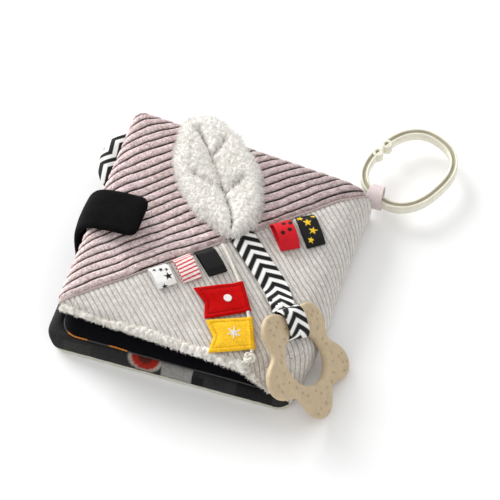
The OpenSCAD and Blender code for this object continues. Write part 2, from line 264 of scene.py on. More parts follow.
def surface(name, color=(0.8, 0.8, 0.8), rough=0.8, tint=False, grain=0.8, vary=0.25, fine=0.25, bump=0.5, depth=0.15,
            sheen=0.0, sheen_tint=(1, 1, 1), coat=0.0, weave=0.0, weave_mm=0.6, spec=0.3, sub=0.0, low=6.0, low_vary=0.06):
    """A procedural surface: colour broken up by noise at two sizes, bump by noise and an optional weave."""
    m = bpy.data.materials.new(name)
    m.use_nodes = True
    nt = m.node_tree
    nt.nodes.clear()
    out = nt.nodes.new("ShaderNodeOutputMaterial")
    bs = nt.nodes.new("ShaderNodeBsdfPrincipled")
    nt.links.new(bs.outputs[0], out.inputs[0])
    tc = nt.nodes.new("ShaderNodeTexCoord")

    def noise(mm, detail=2.0, r=0.6):
        n = nt.nodes.new("ShaderNodeTexNoise")
        n.inputs["Scale"].default_value = 1.0 / (mm * MM)
        n.inputs["Detail"].default_value = detail
        n.inputs["Roughness"].default_value = r
        nt.links.new(tc.outputs["Object"], n.inputs["Vector"])
        return n

    def factor(node, lo, hi, a=0.3, b=0.7):
        r = nt.nodes.new("ShaderNodeMapRange")
        r.inputs["From Min"].default_value = a
        r.inputs["From Max"].default_value = b
        r.inputs["To Min"].default_value = lo
        r.inputs["To Max"].default_value = hi
        nt.links.new(node.outputs[0], r.inputs["Value"])
        return r

    n1 = noise(grain)
    n2 = noise(low, 1.0)
    f1 = factor(n1, 1 - vary, 1 + vary * 0.6)
    f2 = factor(n2, 1 - low_vary, 1 + low_vary)
    mul = nt.nodes.new("ShaderNodeMath")
    mul.operation = "MULTIPLY"
    nt.links.new(f1.outputs[0], mul.inputs[0])
    nt.links.new(f2.outputs[0], mul.inputs[1])
    sc = nt.nodes.new("ShaderNodeVectorMath")
    sc.operation = "SCALE"
    if tint:
        at = nt.nodes.new("ShaderNodeAttribute")
        at.attribute_name = "Tint"
        nt.links.new(at.outputs["Color"], sc.inputs[0])
    else:
        sc.inputs[0].default_value = color
    nt.links.new(mul.outputs[0], sc.inputs["Scale"])
    nt.links.new(sc.outputs[0], bs.inputs["Base Color"])
    bs.inputs["Roughness"].default_value = rough
    bs.inputs["Specular IOR Level"].default_value = spec
    bs.inputs["Sheen Weight"].default_value = sheen
    bs.inputs["Sheen Roughness"].default_value = 0.5
    bs.inputs["Sheen Tint"].default_value = (*sheen_tint, 1)
    bs.inputs["Coat Weight"].default_value = coat
    if sub:
        bs.inputs["Subsurface Weight"].default_value = sub
        bs.inputs["Subsurface Radius"].default_value = (0.003, 0.002, 0.0012)
        bs.inputs["Subsurface Scale"].default_value = 1.0
    bn = nt.nodes.new("ShaderNodeBump")
    bn.inputs["Strength"].default_value = bump
    bn.inputs["Distance"].default_value = depth * MM
    nf = noise(fine, 3.0, 0.7)
    src = nf.outputs[0]
    if weave:
        wv = []
        for ax in (0, 1):
            w = nt.nodes.new("ShaderNodeTexWave")
            w.wave_type = "BANDS"
            w.bands_direction = ("X", "Y")[ax]
            w.inputs["Scale"].default_value = 1.0 / (weave_mm * MM) * 0.314
            w.inputs["Distortion"].default_value = 0.6
            nt.links.new(tc.outputs["Object"], w.inputs["Vector"])
            wv.append(w)
        mx = nt.nodes.new("ShaderNodeMath")
        mx.operation = "MULTIPLY"
        nt.links.new(wv[0].outputs["Fac"], mx.inputs[0])
        nt.links.new(wv[1].outputs["Fac"], mx.inputs[1])
        ad = nt.nodes.new("ShaderNodeMath")
        ad.operation = "MULTIPLY_ADD"
        ad.inputs[1].default_value = weave
        nt.links.new(mx.outputs[0], ad.inputs[0])
        nt.links.new(nf.outputs[0], ad.inputs[2])
        src = ad.outputs[0]
    nt.links.new(src, bn.inputs["Height"])
    nt.links.new(bn.outputs[0], bs.inputs["Normal"])
    return m


WIDE = surface("wide_corduroy", rough=0.95, tint=True, grain=0.5, vary=0.50, fine=0.4, bump=1.0, depth=0.4, sheen=0.15, sheen_tint=(1, 0.93, 0.92), spec=0.1)
NARROW = surface("narrow_corduroy", rough=0.95, tint=True, grain=0.8, vary=0.20, fine=0.4, bump=0.8, depth=0.25, sheen=0.12, spec=0.1)
SHERPA = surface("sherpa", rough=1.0, tint=True, grain=1.4, vary=0.05, fine=0.6, bump=0.4, depth=0.3, sheen=0.5, sheen_tint=(1, 0.98, 0.93), spec=0.0, low_vary=0.03)
VELVET = surface("black_velvet", lin((8, 8, 11)), rough=0.95, grain=2.0, vary=0.5, fine=0.5, bump=0.6, depth=0.15, sheen=0.03, sheen_tint=(0.55, 0.58, 0.68), spec=0.03)
PLUSH = surface("black_plush", lin((10, 9, 10)), rough=0.92, grain=2.5, vary=0.5, fine=0.6, bump=0.6, depth=0.2, sheen=0.05, sheen_tint=(0.5, 0.5, 0.52), spec=0.08)
CHARCOAL = surface("charcoal_print", rough=0.85, tint=True, grain=1.5, vary=0.25, fine=0.4, bump=0.5, depth=0.12, sheen=0.06, sheen_tint=(0.6, 0.6, 0.65), spec=0.12)
PALE = surface("pale_cloth", lin((216, 214, 206)), rough=0.9, grain=0.7, vary=0.10, fine=0.3, bump=0.5, depth=0.12, weave=0.6, weave_mm=0.7, spec=0.15)
TRIM = surface("cream_binding", lin((206, 204, 190)), rough=0.85, grain=0.9, vary=0.15, fine=0.3, bump=0.7, depth=0.15, spec=0.15)
RIBBON = surface("ribbon_print", rough=0.6, tint=True, grain=1.0, vary=0.08, fine=0.35, bump=0.4, depth=0.06, weave=0.8, weave_mm=0.5, sheen=0.03, spec=0.2)
FELT = surface("felt", rough=0.98, tint=True, grain=0.7, vary=0.2, fine=0.35, bump=0.8, depth=0.2, sheen=0.05, spec=0.05)
PINK = surface("loop_ribbon", lin((214, 200, 199)), rough=0.6, grain=0.8, vary=0.10, fine=0.4, bump=0.4, depth=0.08, weave=0.8, weave_mm=0.5, spec=0.3)
CORD = surface("white_cord", lin((226, 222, 212)), rough=0.8, grain=0.6, vary=0.14, fine=0.3, bump=0.6, depth=0.12, spec=0.2)
THREAD = surface("thread", tint=True, rough=0.6, grain=0.5, vary=0.12, fine=0.3, bump=0.4, depth=0.05, spec=0.3)
HOOK = surface("hook_tape", lin((20, 20, 21)), rough=0.8, grain=0.5, vary=0.5, fine=0.3, bump=1.0, depth=0.3, spec=0.3)
SNAP = surface("snap_plastic", lin((240, 240, 238)), rough=0.3, grain=4.0, vary=0.03, fine=1.0, bump=0.1, depth=0.03, spec=0.5)
TEETHER = surface("teether_silicone", rough=0.5, tint=True, grain=1.3, vary=0.07, fine=0.5, bump=0.25, depth=0.08, spec=0.4, sub=0.06)
CREAM = surface("cream_plastic", tint=True, rough=0.36, grain=5.0, vary=0.03, fine=1.2, bump=0.12, depth=0.04, coat=0.15, spec=0.45, sub=0.05)
WHITE_FELT = lin((238, 238, 234))

# ---------------------------------------------------------------- the book's main surface

FORE_Z, FALL = 45.5, 0.1277
TILT = math.atan(FALL)
CT, ST = math.cos(TILT), math.sin(TILT)
NC = np.array([ST, 0.0, CT])
CROWN = 4.0
A0, LREG = 40.0, None


def plane_z(x):
    return FORE_Z - FALL * (x + 80)


def tail_k(y):
    return smooth(-y, 50, 80)


# profiles of the core surface across the spine, one for each y
YS = np.linspace(-80, 80, 81)
NP = 160
PX, PZ = np.zeros((len(YS), NP)), np.zeros((len(YS), NP))
for _i, _y in enumerate(YS):
    k = float(tail_k(_y))
    x0 = 61.5 - 20.5 * k
    xm = 77 - 4.0 * k
    z12 = 12 - 7.5 * k
    p = 2.1 - 0.95 * k
    f = np.linspace(0, 1, 240)
    ang = f * np.pi / 2
    qx = x0 + (xm - x0) * np.sin(ang) ** (2 / p)
    qz = z12 + (plane_z(qx) - z12) * np.cos(ang) ** (2 / p)
    x1, z1 = xm - 5.0, 4.5 - 1.5 * k
    lx = x1 + (xm - x1) * np.cos(ang) ** 0.9
    lz = z1 + (z12 - z1) * (1 - np.sin(ang) ** 0.9)
    X = np.concatenate([np.linspace(A0, x0, 60)[:-1], qx, lx[1:]])
    Z = np.concatenate([plane_z(np.linspace(A0, x0, 60)[:-1]), qz, lz[1:]])
    arc = np.concatenate([[0], np.cumsum(np.hypot(np.diff(X), np.diff(Z)))])
    if LREG is None or k == 0:
        LREG = arc[-1]
    s = np.linspace(0, arc[-1], NP)
    PX[_i], PZ[_i] = np.interp(s, arc, X), np.interp(s, arc, Z)
A_END = A0 + float(LREG)


def core(a, y):
    """The core surface's point for the cloth coordinates a (from the open edge round the spine) and y."""
    a, y = np.asarray(a, float), np.asarray(y, float)
    fi = np.clip((y + 80) / 160 * (len(YS) - 1), 0, len(YS) - 1.001)
    fj = np.clip((a - A0) / (A_END - A0) * (NP - 1), 0, NP - 1.001)
    i, j = fi.astype(int), fj.astype(int)
    u, v = fi - i, fj - j

    def bil(T):
        return (T[i, j] * (1 - u) + T[i + 1, j] * u) * (1 - v) + (T[i, j + 1] * (1 - u) + T[i + 1, j + 1] * u) * v
    x = np.where(a < A0, a, bil(PX))
    z = np.where(a < A0, plane_z(a), bil(PZ))
    return np.stack([x, np.broadcast_to(y, x.shape), z], -1)


def core_normal(a, y):
    e = 0.6
    da = core(a + e, y) - core(a - e, y)
    dy = core(a, np.clip(y + e, -80, 80)) - core(a, np.clip(y - e, -80, 80))
    n = np.cross(da, dy)
    return n / (np.linalg.norm(n, axis=-1, keepdims=True) + 1e-12)


def edge_d(a, y, r=7.0):
    """Distance inside the outline in cloth coordinates, its two corners at the open edge rounded."""
    dx, dy = a + 80, 80 - np.abs(y)
    d = np.minimum(dx, dy)
    corner = (dx < r) & (dy < r)
    dc = r - np.hypot(r - dx, r - dy)
    return np.where(corner, dc, d)


def dome(d, R=8.5):
    t = np.clip(d / R, 0, 1)
    return np.sqrt(np.clip(1 - (1 - t) ** 2, 0, 1))


def slow(a, y):
    """Soft unevenness of the padding, and a dip along the join between the two fabrics."""
    w = 0.8 * noise2(a / 34 + 3.1, y / 34 + 1.7, 3) + 0.45 * noise2(a / 15, y / 15, 4)
    w = w + 0.9 * np.exp(-((a - y) / 1.414 / 9.0) ** 2) * 0 - 0.9 * np.exp(-(((a - y) / 1.414) / 3.2) ** 2)
    return w


def top_point(a, y, lift=0.0):
    """The front cover's top surface, before its ridges."""
    d = edge_d(a, y)
    h = CROWN * dome(d) + slow(a, y) * smooth(d, 2, 14) + lift
    return core(a, y) + core_normal(a, y) * np.asarray(h)[..., None]


def rows(inside, along, t0, t1, dt, ds, ends=0.7):
    """Rows of points at constant t inside a region. along(t, s) gives (a, y)."""
    ts = np.arange(t0, t1, dt)
    lo, hi, keep = [], [], []
    s = np.arange(-170, 170, 0.25)
    for t in ts:
        a, y = along(t, s)
        ok = inside(a, y)
        if ok.sum() < 3:
            continue
        lo.append(s[ok][0])
        hi.append(s[ok][-1])
        keep.append(t)
    lo, hi, keep = np.array(lo), np.array(hi), np.array(keep)
    n = int(max(hi - lo) / ds)
    g = np.linspace(0, 1, n)
    g = g - ends * np.sin(2 * np.pi * g) / (2 * np.pi)
    S = lo[:, None] + (hi - lo)[:, None] * g[None, :]
    return keep, S


R2 = math.sqrt(0.5)
WP, NPITCH = 5.75, 3.35


def ridge(t, a, y, pitch, warp, power, seed, bend=0.0):
    tt = t + bend * np.clip(1 - edge_d(a, y) / 16, 0, 1) ** 2 + warp * noise2(a / 30, y / 30, seed) + warp * 0.35 * noise2(a / 9, y / 9, seed + 1)
    q = np.abs(((tt / pitch) % 1) * 2 - 1)  # 1 at the groove, 0 on the ridge
    return np.clip(1 - q ** power, 0, 1) ** 0.62, np.floor(tt / pitch)


def round_corner(a, y, r=7.0):
    """Moves points beyond a rounded corner of the open edge onto it."""
    dx, dy = a + 80, 80 - np.abs(y)
    m = (dx < r) & (dy < r) & (np.hypot(r - dx, r - dy) > r)
    k = np.where(m, r / (np.hypot(r - dx, r - dy) + 1e-9), 1)
    a2 = np.where(m, -80 + r - (r - dx) * k, a)
    y2 = np.where(m, np.sign(y) * (80 - r + (r - dy) * k), y)
    return a2, y2


# mauve wide corduroy: ridges along the join
def along_w(t, s):
    return (s - t) * R2, (s + t) * R2


def in_w(a, y):
    return (a >= -80) & (y <= 80) & (y >= a + 0.0) & (a <= 80)


DT = 0.50
keep, S = rows(in_w, along_w, 0.4, 113, DT, 1.0)
Tm = np.repeat(keep[:, None], S.shape[1], 1)
Aw, Yw = along_w(Tm, S)
Aw, Yw = round_corner(Aw, Yw)
hw, idw = ridge(Tm, Aw, Yw, WP, 1.6, 3.0, 11, bend=3.4)
P = top_point(Aw, Yw)
N = core_normal(Aw, Yw)
Ns = normals_of(P)
Ns *= np.sign((Ns * N).sum(-1, keepdims=True))
edge = smooth(edge_d(Aw, Yw), -1, 4)
joinf = smooth(Tm, 0.2, 3.5)
pile = 0.26 * noise2(Aw / 1.1, Yw / 1.1, 21) + 0.14 * noise2(Aw / 0.6, Yw / 0.6, 22)
wob = 0.12 * noise2(Aw / 6, Yw / 6, 23)
P = P + Ns * ((2.3 * hw + pile * hw + wob) * (0.45 + 0.55 * edge) * joinf - 0.7)[..., None]
# Across each wale the colour runs from a near-black groove colour at the bottom to speckled mauve on top; the groove
# colour is partly the darker base cloth and partly painted shade in the grooves.
MAUVE, MAUVE_HI, GROOVE_CLOTH_AND_SHADE = lin((178, 153, 151)), lin((250, 231, 229)), lin((18, 11, 10))
mixg = smooth(hw, 0.46, 0.86)[..., None]
spk = np.clip(0.5 + 0.5 * noise2(Aw / 0.55, Yw / 0.55, 31) + 0.15 * noise2(Aw / 2.1, Yw / 2.1, 32), 0, 1)[..., None]
colw = GROOVE_CLOTH_AND_SHADE * (1 - mixg) + (MAUVE * (1 - spk) + MAUVE_HI * spk) * mixg
# Besides a random tone per wale, the colour is multiplied by a painted light gradient: brighter towards the tail and
# the open edge, darker towards the head and the spine, to even out the key light's shading.
colw = colw * ((1 + 0.05 * noise2(idw * 3.7, Yw / 40, 33)) * np.clip(1.06 - 0.0019 * (Aw + Yw - 10), 0.84, 1.24))[..., None]
colw = np.clip(colw, 0, 1)
wide = make("front_wide_corduroy", P, quads_of(*P.shape[:2], flip=True), mats=[WIDE], col=colw)


# grey narrow corduroy: ridges across the join, on the cover and round the spine
def along_n(t, s):
    return (t - s) * R2, (t + s) * R2


def bound(y):
    return 74 - 21 * tail_k(y)


def in_nc(a, y):
    return (a >= -80) & (y >= -80) & (y <= a - 0.0) & (a <= bound(y) + 0.2) & (y <= 80)


def in_ns(a, y):
    return (a >= bound(y)) & (y >= -79.5) & (y <= 79.5) & (y <= a) & (a <= A_END)


GREY, GREY_HI, GREY_GROOVE_AND_SHADE = lin((197, 192, 186)), lin((228, 224, 218)), lin((150, 143, 136))


def narrow_piece(name, inside, t0, t1):
    keep, S = rows(inside, along_n, t0, t1, 0.42, 1.5)
    Tm = np.repeat(keep[:, None], S.shape[1], 1)
    A, Y = along_n(Tm, S)
    A, Y = round_corner(A, Y)
    h, _ = ridge(Tm, A, Y, NPITCH, 0.35, 2.4, 41)
    P = top_point(A, Y)
    N = core_normal(A, Y)
    Ns = normals_of(P)
    Ns *= np.sign((Ns * N).sum(-1, keepdims=True))
    edge = smooth(edge_d(A, Y), -1, 5)
    pile = 0.10 * noise2(A / 0.9, Y / 0.9, 51)
    P = P + Ns * ((0.62 * h + pile) * (0.4 + 0.6 * edge) - 0.35)[..., None]
    P[..., 2] = 0.5 + np.log1p(np.exp((P[..., 2] - 0.5) * 2.5)) / 2.5
    # Towards the grooves the colour goes to a darker grey: partly the darker base cloth, partly painted shade in the
    # grooves.
    g = smooth(h, 0.2, 0.75)[..., None]
    sp = (0.5 + 0.5 * noise2(A / 0.8, Y / 0.8, 52))[..., None]
    col = GREY_GROOVE_AND_SHADE * (1 - g) + (GREY * (1 - sp) + GREY_HI * sp) * g
    return make(name, P, quads_of(*P.shape[:2]), mats=[NARROW], col=col)


narrow = narrow_piece("front_narrow_corduroy", in_nc, -112.5, 110)
spine = narrow_piece("spine_corduroy", in_ns, -40, 130)

# the welt along the join: a thin raised seam between the two fabrics
sp_ = np.linspace(-78, 78, 260)
jp = top_point(sp_, sp_, 0.35)
jv, jq, jt = tube_parts(jp, 0.75 + 0.12 * np.sin(sp_ * 2.2), 8)
join_seam = make("join_seam", jv, jq, jt, mats=[NARROW], col=np.ones((len(jv), 3)) * lin((188, 172, 168)))


# the fluffy edge of the top fabrics along the tail
def fluff(name, a, y, r, amp, color, seed):
    p = core(a, y)
    n = core_normal(a, y)
    p = p + n * 0.2 + (n * 0.75 + np.array([0, 0.75, 0])) * (np.asarray(r) - 1.6)[:, None]
    v, q, t = tube_parts(p, r, 16)
    m = len(p)
    k = np.arange(m * 16)
    ang, al = k % 16, k // 16
    nz = noise3(np.stack([v[:m * 16, 0] / 1.6, v[:m * 16, 1] / 1.6, v[:m * 16, 2] / 1.6], -1), seed)
    nz2 = noise3(v[:m * 16] / 0.8, seed + 1)
    cen = np.repeat(p, 16, 0)
    dirv = v[:m * 16] - cen
    dirv /= np.linalg.norm(dirv, axis=1, keepdims=True) + 1e-9
    v[:m * 16] += dirv * (amp * nz + amp * 0.5 * nz2)[:, None]
    c = np.ones((len(v), 3)) * color
    # The colour follows the same noise as the bumps: lighter where the pile stands out, darker in its hollows; partly
    # random tone, partly painted shade.
    c[:m * 16] *= (1 + 0.16 * nz + 0.1 * nz2)[:, None]
    return make(name, v, q, t, mats=[SHERPA], col=c)


ae = np.linspace(-76, 73, 330)
def pile_r(a):
    return 1.7 + 1.3 * smooth(a, -46, -32) * (1 - smooth(a, 44, 62)) + 0.3 * noise2(a / 7, a * 0, 62)


tail_fluff = fluff("tail_pile_edge", ae, np.full_like(ae, -79.6), pile_r(ae), 1.1, lin((234, 231, 225)), 61)
gh = np.random.default_rng(12)
nh = 3000
ah = gh.uniform(-77, 72, nh)
ph_ = gh.uniform(-1.2, 2.6, nh)
hn = core_normal(ah, np.full(nh, -79.0))
hd = hn * np.sin(ph_)[:, None] + np.array([0, -1.0, 0]) * np.cos(ph_)[:, None]
hr = core(ah, np.full(nh, -79.4)) + (hn * 0.75 + np.array([0, 0.75, 0])) * (pile_r(ah) - 1.6)[:, None] + hd * (pile_r(ah) * 0.8)[:, None]
hd = hd + gh.normal(0, 0.45, (nh, 3))
tail_hair = hairs("tail_pile_tufts", hr, hd, 2.0, 0.42, [SHERPA], lin((238, 234, 226)), 13, curl=0.8)
tail_hair.visible_shadow = False

# ---------------------------------------------------------------- the cushions inside and below


def plate(name, zf_top, zf_bot, outline, n=90, m=46, mats=(), colf=None, tail=1.0):
    """A closed cushion between two height fields over a star-shaped outline (list of (x, y)); both meet at the outline."""
    out = np.asarray(outline, float)
    seg = np.linalg.norm(np.diff(np.vstack([out, out[:1]]), axis=0), axis=1)
    arc = np.concatenate([[0], np.cumsum(seg)])
    loop = np.vstack([out, out[:1]])
    fine_s = np.arange(0, arc[-1], 0.25)
    wgt = np.where(np.interp(fine_s, arc, loop[:, 1]) < -76, tail, 1.0)
    cum = np.concatenate([[0], np.cumsum(wgt)])
    s = np.interp(np.linspace(0, cum[-1], n, endpoint=False), cum, np.append(fine_s, arc[-1]))
    ox, oy = np.interp(s, arc, loop[:, 0]), np.interp(s, arc, loop[:, 1])
    c = (out.min(0) + out.max(0)) / 2
    f = 1 - (np.linspace(0, 1, m)) ** 1.9  # dense at the outline
    f = f[:-1]
    F = np.concatenate([f[::-1], f[1:]])  # from the centre of the top out and back to the centre below
    top = np.concatenate([np.ones(len(f)), np.zeros(len(f) - 1)]).astype(bool)
    X = c[0] + (ox[None] - c[0]) * F[:, None]
    Y = c[1] + (oy[None] - c[1]) * F[:, None]
    D = np.hypot(ox - c[0], oy - c[1])[None] * (1 - F[:, None])
    Z = np.where(top[:, None], zf_top(X, Y, D), zf_bot(X, Y, D))
    V = np.stack([X, Y, Z], -1)
    V = V.reshape(-1, 3)
    q = quads_of(len(F), n, wrap_m=True)
    zc = (float(zf_top(np.array([[c[0]]]), np.array([[c[1]]]), np.array([[99.0]]))[0, 0]), float(zf_bot(np.array([[c[0]]]), np.array([[c[1]]]), np.array([[99.0]]))[0, 0]))
    V = np.vstack([V, (c[0], c[1], zc[0]), (c[0], c[1], zc[1])])
    a, z = len(F) * n, len(F) * n + 1
    T = [(a, i, (i + 1) % n) for i in range(n)] + [(z, (len(F) - 1) * n + (i + 1) % n, (len(F) - 1) * n + i) for i in range(n)]
    col = colf(V) if colf is not None else None
    return make(name, V, q[:, ::-1], [t[::-1] for t in T], mats=mats, col=col)


def rrect(x0, y0, x1, y1, r, r2=None, n=8):
    """Rounded rectangle, corners in the order tail-spine, head-spine, head-open, tail-open; r2 for the spine's corners."""
    r2 = r if r2 is None else r2
    pts = []
    for cx, cy, rr, a in ((x1 - r2, y0 + r2, r2, -90), (x1 - r2, y1 - r2, r2, 0), (x0 + r, y1 - r, r, 90), (x0 + r, y0 + r, r, 180)):
        for i in range(n + 1):
            t = math.radians(a + 90 * i / n)
            pts.append((cx + rr * math.cos(t), cy + rr * math.sin(t)))
    return pts


def under_z(X, Y):
    """Height of the core surface over a place, as far as the spine."""
    x = np.clip(X, -80, 70)
    y = np.clip(Y, -80, 80)
    # the cloth coordinate that lies over x
    fi = np.clip((y + 80) / 160 * (len(YS) - 1), 0, len(YS) - 1.001).astype(int)
    out = plane_z(X).astype(float)
    flat_x, flat_i = x.ravel(), fi.ravel()
    o = out.ravel()
    for i in np.unique(flat_i):
        sel = (flat_i == i) & (flat_x > A0)
        if sel.any():
            top = int(np.argmax(PX[i]))
            o[sel] = np.interp(flat_x[sel], PX[i][: top + 1], PZ[i][: top + 1])
    return o.reshape(X.shape)


cover_out = rrect(-79.6, -79.6, 70, 79.6, 7.0, 5.0)
lining = plate(
    "front_lining", lambda X, Y, D: under_z(X, Y) + 2.2 * dome(D, 9) - 0.15, lambda X, Y, D: under_z(X, Y) - 5.6 * dome(D, 9) + 0.5 * noise2(X / 22, Y / 22, 71) * smooth(D, 2, 12) - 0.15,
    cover_out, n=240, m=30, mats=[VELVET])


# pages: a black padded page above, a charcoal face below its seam
def seam_z(X):
    return 15.5 - 1.7 * smooth(X, -50, -5)


def page_top(X, Y, D):
    lim = under_z(X, Y) - 6.5
    e = seam_z(X)
    return e + (np.minimum(plane_z(X) - 6.4, lim) - e) * dome(D, 9)


def page_bot(X, Y, D):
    return seam_z(X) - 5.5 * dome(D, 7)


page_out = rrect(-78.0, -79.0, 68, 79.0, 11, 16)


def page_col(V):
    return np.ones((len(V), 3)) * lin((17, 18, 22))


pages = plate("page_cushion", page_top, page_bot, page_out, n=240, m=34, mats=[VELVET])

# back cover: charcoal printed cushion with a raised rim, on a pale cloth with a cream binding
back_out = rrect(-88.0, -83.3, 75, 83.3, 11, 9)


def rim_z(X):
    return 3.2 + 5.0 * smooth(-X, 80.5, 86)


def back_top(X, Y, D):
    z0 = rim_z(X)
    lump = 0.7 * noise2(X / 14, Y / 14, 87) * smooth(D, 1, 5)
    return z0 + (13.2 - 1.9 * smooth(X, -45, 0) - z0) * dome(D, 6.5) ** 1.1 - 5.0 * smooth(D, 8, 15) + lump


def back_bot(X, Y, D):
    return 1.5 + (rim_z(X) - 1.5) * (1 - dome(D, 3.0))


def print_col(V):
    c = np.ones((len(V), 3)) * lin((44, 44, 44))
    x, y, z = V[:, 0], V[:, 1], V[:, 2]
    c *= (1 + 0.16 * noise2(x / 9, z / 9 + y / 9, 81))[:, None]
    tail = y < -74

    def put(mask, colour):
        m = (np.clip(mask, 0, 1) * tail)[:, None]
        c[:] = c * (1 - m) + lin(colour) * m

    def inside(v, e=0.06):
        return smooth(1 - v, -e, e)
    r = np.hypot((x + 21.0) / 11.5, (z - 13.0) / 9.5)
    put(inside(r), (158, 150, 140))
    put(inside(r / 0.80), (150, 34, 24))
    put(inside(r / 0.42), (84, 30, 24))
    box = np.maximum(np.abs(x - 0.5) / 10.2, np.abs(z - 6.0) / 8.5)
    put(inside(box, 0.04), (142, 141, 138))
    put(inside(np.maximum(np.abs(x - 14.5) / 4.0, np.abs(z - 4.5) / 5.0), 0.08), (26, 26, 26))
    put(inside(np.maximum(np.abs(x - 52) / 12, np.abs(z - 6) / 5.5), 0.04) * 0.8, (24, 24, 24))
    put(inside(np.maximum(np.abs(x + 66) / 9, np.abs(z - 7) / 4.5), 0.05) * 0.5, (62, 62, 60))
    return c


back_pad = plate("back_lining_cushion", back_top, back_bot, back_out, n=600, m=32, mats=[CHARCOAL], colf=print_col, tail=3.0)
back_cloth = plate("back_outer_cloth", lambda X, Y, D: 1.0 + 0.9 * dome(D, 1.5), lambda X, Y, D: 1.0 - 1.0 * dome(D, 1.2), rrect(-85.6, -83.6, 75.4, 83.6, 12, 9), n=200, m=14, mats=[PALE])

# cream binding along the back cover's edge, with overlock stitches
bo = np.array(rrect(-85.0, -83.0, 74.6, 83.0, 11.5, 9, 12))
bo = np.vstack([bo, bo[:1]])
seg = np.concatenate([[0], np.cumsum(np.linalg.norm(np.diff(bo, axis=0), axis=1))])
ss = np.arange(0, seg[-1], 0.8)
bx, by = np.interp(ss, seg, bo[:, 0]), np.interp(ss, seg, bo[:, 1])
bz = 1.9 + 0.25 * noise2(ss / 4, ss * 0, 83)
bp = np.stack([bx, by, bz], -1)
bv, bq, bt = tube_parts(bp, 0.95 + 0.22 * np.abs(np.sin(ss * 1.7)) + 0.15 * noise2(ss / 3, ss * 0 + 3, 84), 8)
binding = make("back_binding", bv, bq, bt, mats=[TRIM])

# stitched seam round the page
po = np.array(rrect(-78.2, -79.2, 66, 79.2, 11, 16, 12))
po = np.vstack([po, po[:1]])
seg = np.concatenate([[0], np.cumsum(np.linalg.norm(np.diff(po, axis=0), axis=1))])
ss = np.arange(0, seg[-1], 0.7)
px_, py_ = np.interp(ss, seg, po[:, 0]), np.interp(ss, seg, po[:, 1])
pz_ = seam_z(px_) - 0.2 + 0.5 * noise2(ss / 12, ss * 0, 85)
pp = np.stack([px_, py_, pz_], -1)
pv, pq, pt = tube_parts(pp, 0.55 + 0.15 * np.sin(ss * 2.6), 8)
pc = np.ones((len(pv), 3)) * lin((96, 92, 86))
pc[:] = lin((66, 62, 60))
orange = ((pv[:, 0] < -60) & (pv[:, 0] > -77) & (pv[:, 1] < -77.6)) | ((pv[:, 0] > -45) & (pv[:, 0] < -33))
pc[orange] = lin((206, 126, 40))
page_seam = make("page_seam", pv, pq, pt, mats=[THREAD], col=pc)

# ---------------------------------------------------------------- closure tab and its tape


def ribbon_solid(name, path, y0, y1, half_t, mats, round_y=5.0, n_y=40, step=0.8, colf=None, puff=0.0, end_round=True):
    """A strip whose middle line runs in the xz plane, y0 to y1 wide, puffed, its edges and its free end rounded."""
    p = smooth_path(path, step)
    x, z = p[:, 0], p[:, 1]
    m = len(x)
    tx, tz = np.gradient(x), np.gradient(z)
    L = np.hypot(tx, tz)
    nx, nz = -tz / L, tx / L
    arc = np.concatenate([[0], np.cumsum(np.hypot(np.diff(x), np.diff(z)))])
    left = arc[-1] - arc
    yy = np.linspace(-1, 1, n_y)
    yy = np.sin(yy * np.pi / 2) * 0.5 + yy * 0.5
    half = (y1 - y0) / 2
    mid = (y0 + y1) / 2
    shrink = np.where(left < round_y, round_y - np.sqrt(np.clip(round_y ** 2 - (round_y - left) ** 2, 0, None)), 0) if end_round else np.zeros(m)
    W = half - shrink
    Y = mid + W[:, None] * yy[None]
    dist = np.minimum((W[:, None] * (1 - np.abs(yy[None]))), np.minimum(left[:, None], 99))
    th = half_t * np.sqrt(np.clip(1 - (1 - np.clip(dist / 4.0, 0, 1)) ** 2, 0, 1)) + puff * smooth(dist, 2, 12)
    th = th + 0.12
    top = np.stack([x[:, None] + nx[:, None] * th, Y, z[:, None] + nz[:, None] * th], -1)
    bot = np.stack([x[:, None] - nx[:, None] * th, Y, z[:, None] - nz[:, None] * th], -1)
    ring = np.concatenate([top, bot[:, ::-1][:, 1:-1]], 1)
    V = ring.reshape(-1, 3)
    k = ring.shape[1]
    Q = quads_of(m, k, wrap_m=True)
    V = np.vstack([V, ring[0].mean(0), ring[-1].mean(0)])
    a, b = m * k, m * k + 1
    T = [(a, (i + 1) % k, i) for i in range(k)] + [(b, (m - 1) * k + i, (m - 1) * k + (i + 1) % k) for i in range(k)]
    T = [t[::-1] for t in T]
    col = colf(V) if colf is not None else None
    return make(name, V, Q, T, mats=mats, col=col)


tab = ribbon_solid("closure_tab_plush", [(-84.6, 3.0), (-86.2, 9), (-86.8, 20), (-87.0, 32), (-85.8, 42), (-82.4, 48.8), (-77, 52.4), (-70, 53.8), (-60, 54.6), (-52, 55.0), (-46.6, 54.6)],
                   -21, 10, 2.2, [PLUSH], round_y=6.5, n_y=44, puff=0.6)
tab_co = np.array([v.co for v in tab.data.vertices]) / MM
tab_co[:, 2] += 0.35 * noise2(tab_co[:, 0] / 9, tab_co[:, 1] / 9, 91)
tab.data.vertices.foreach_set("co", (tab_co * MM).astype(np.float32).ravel())


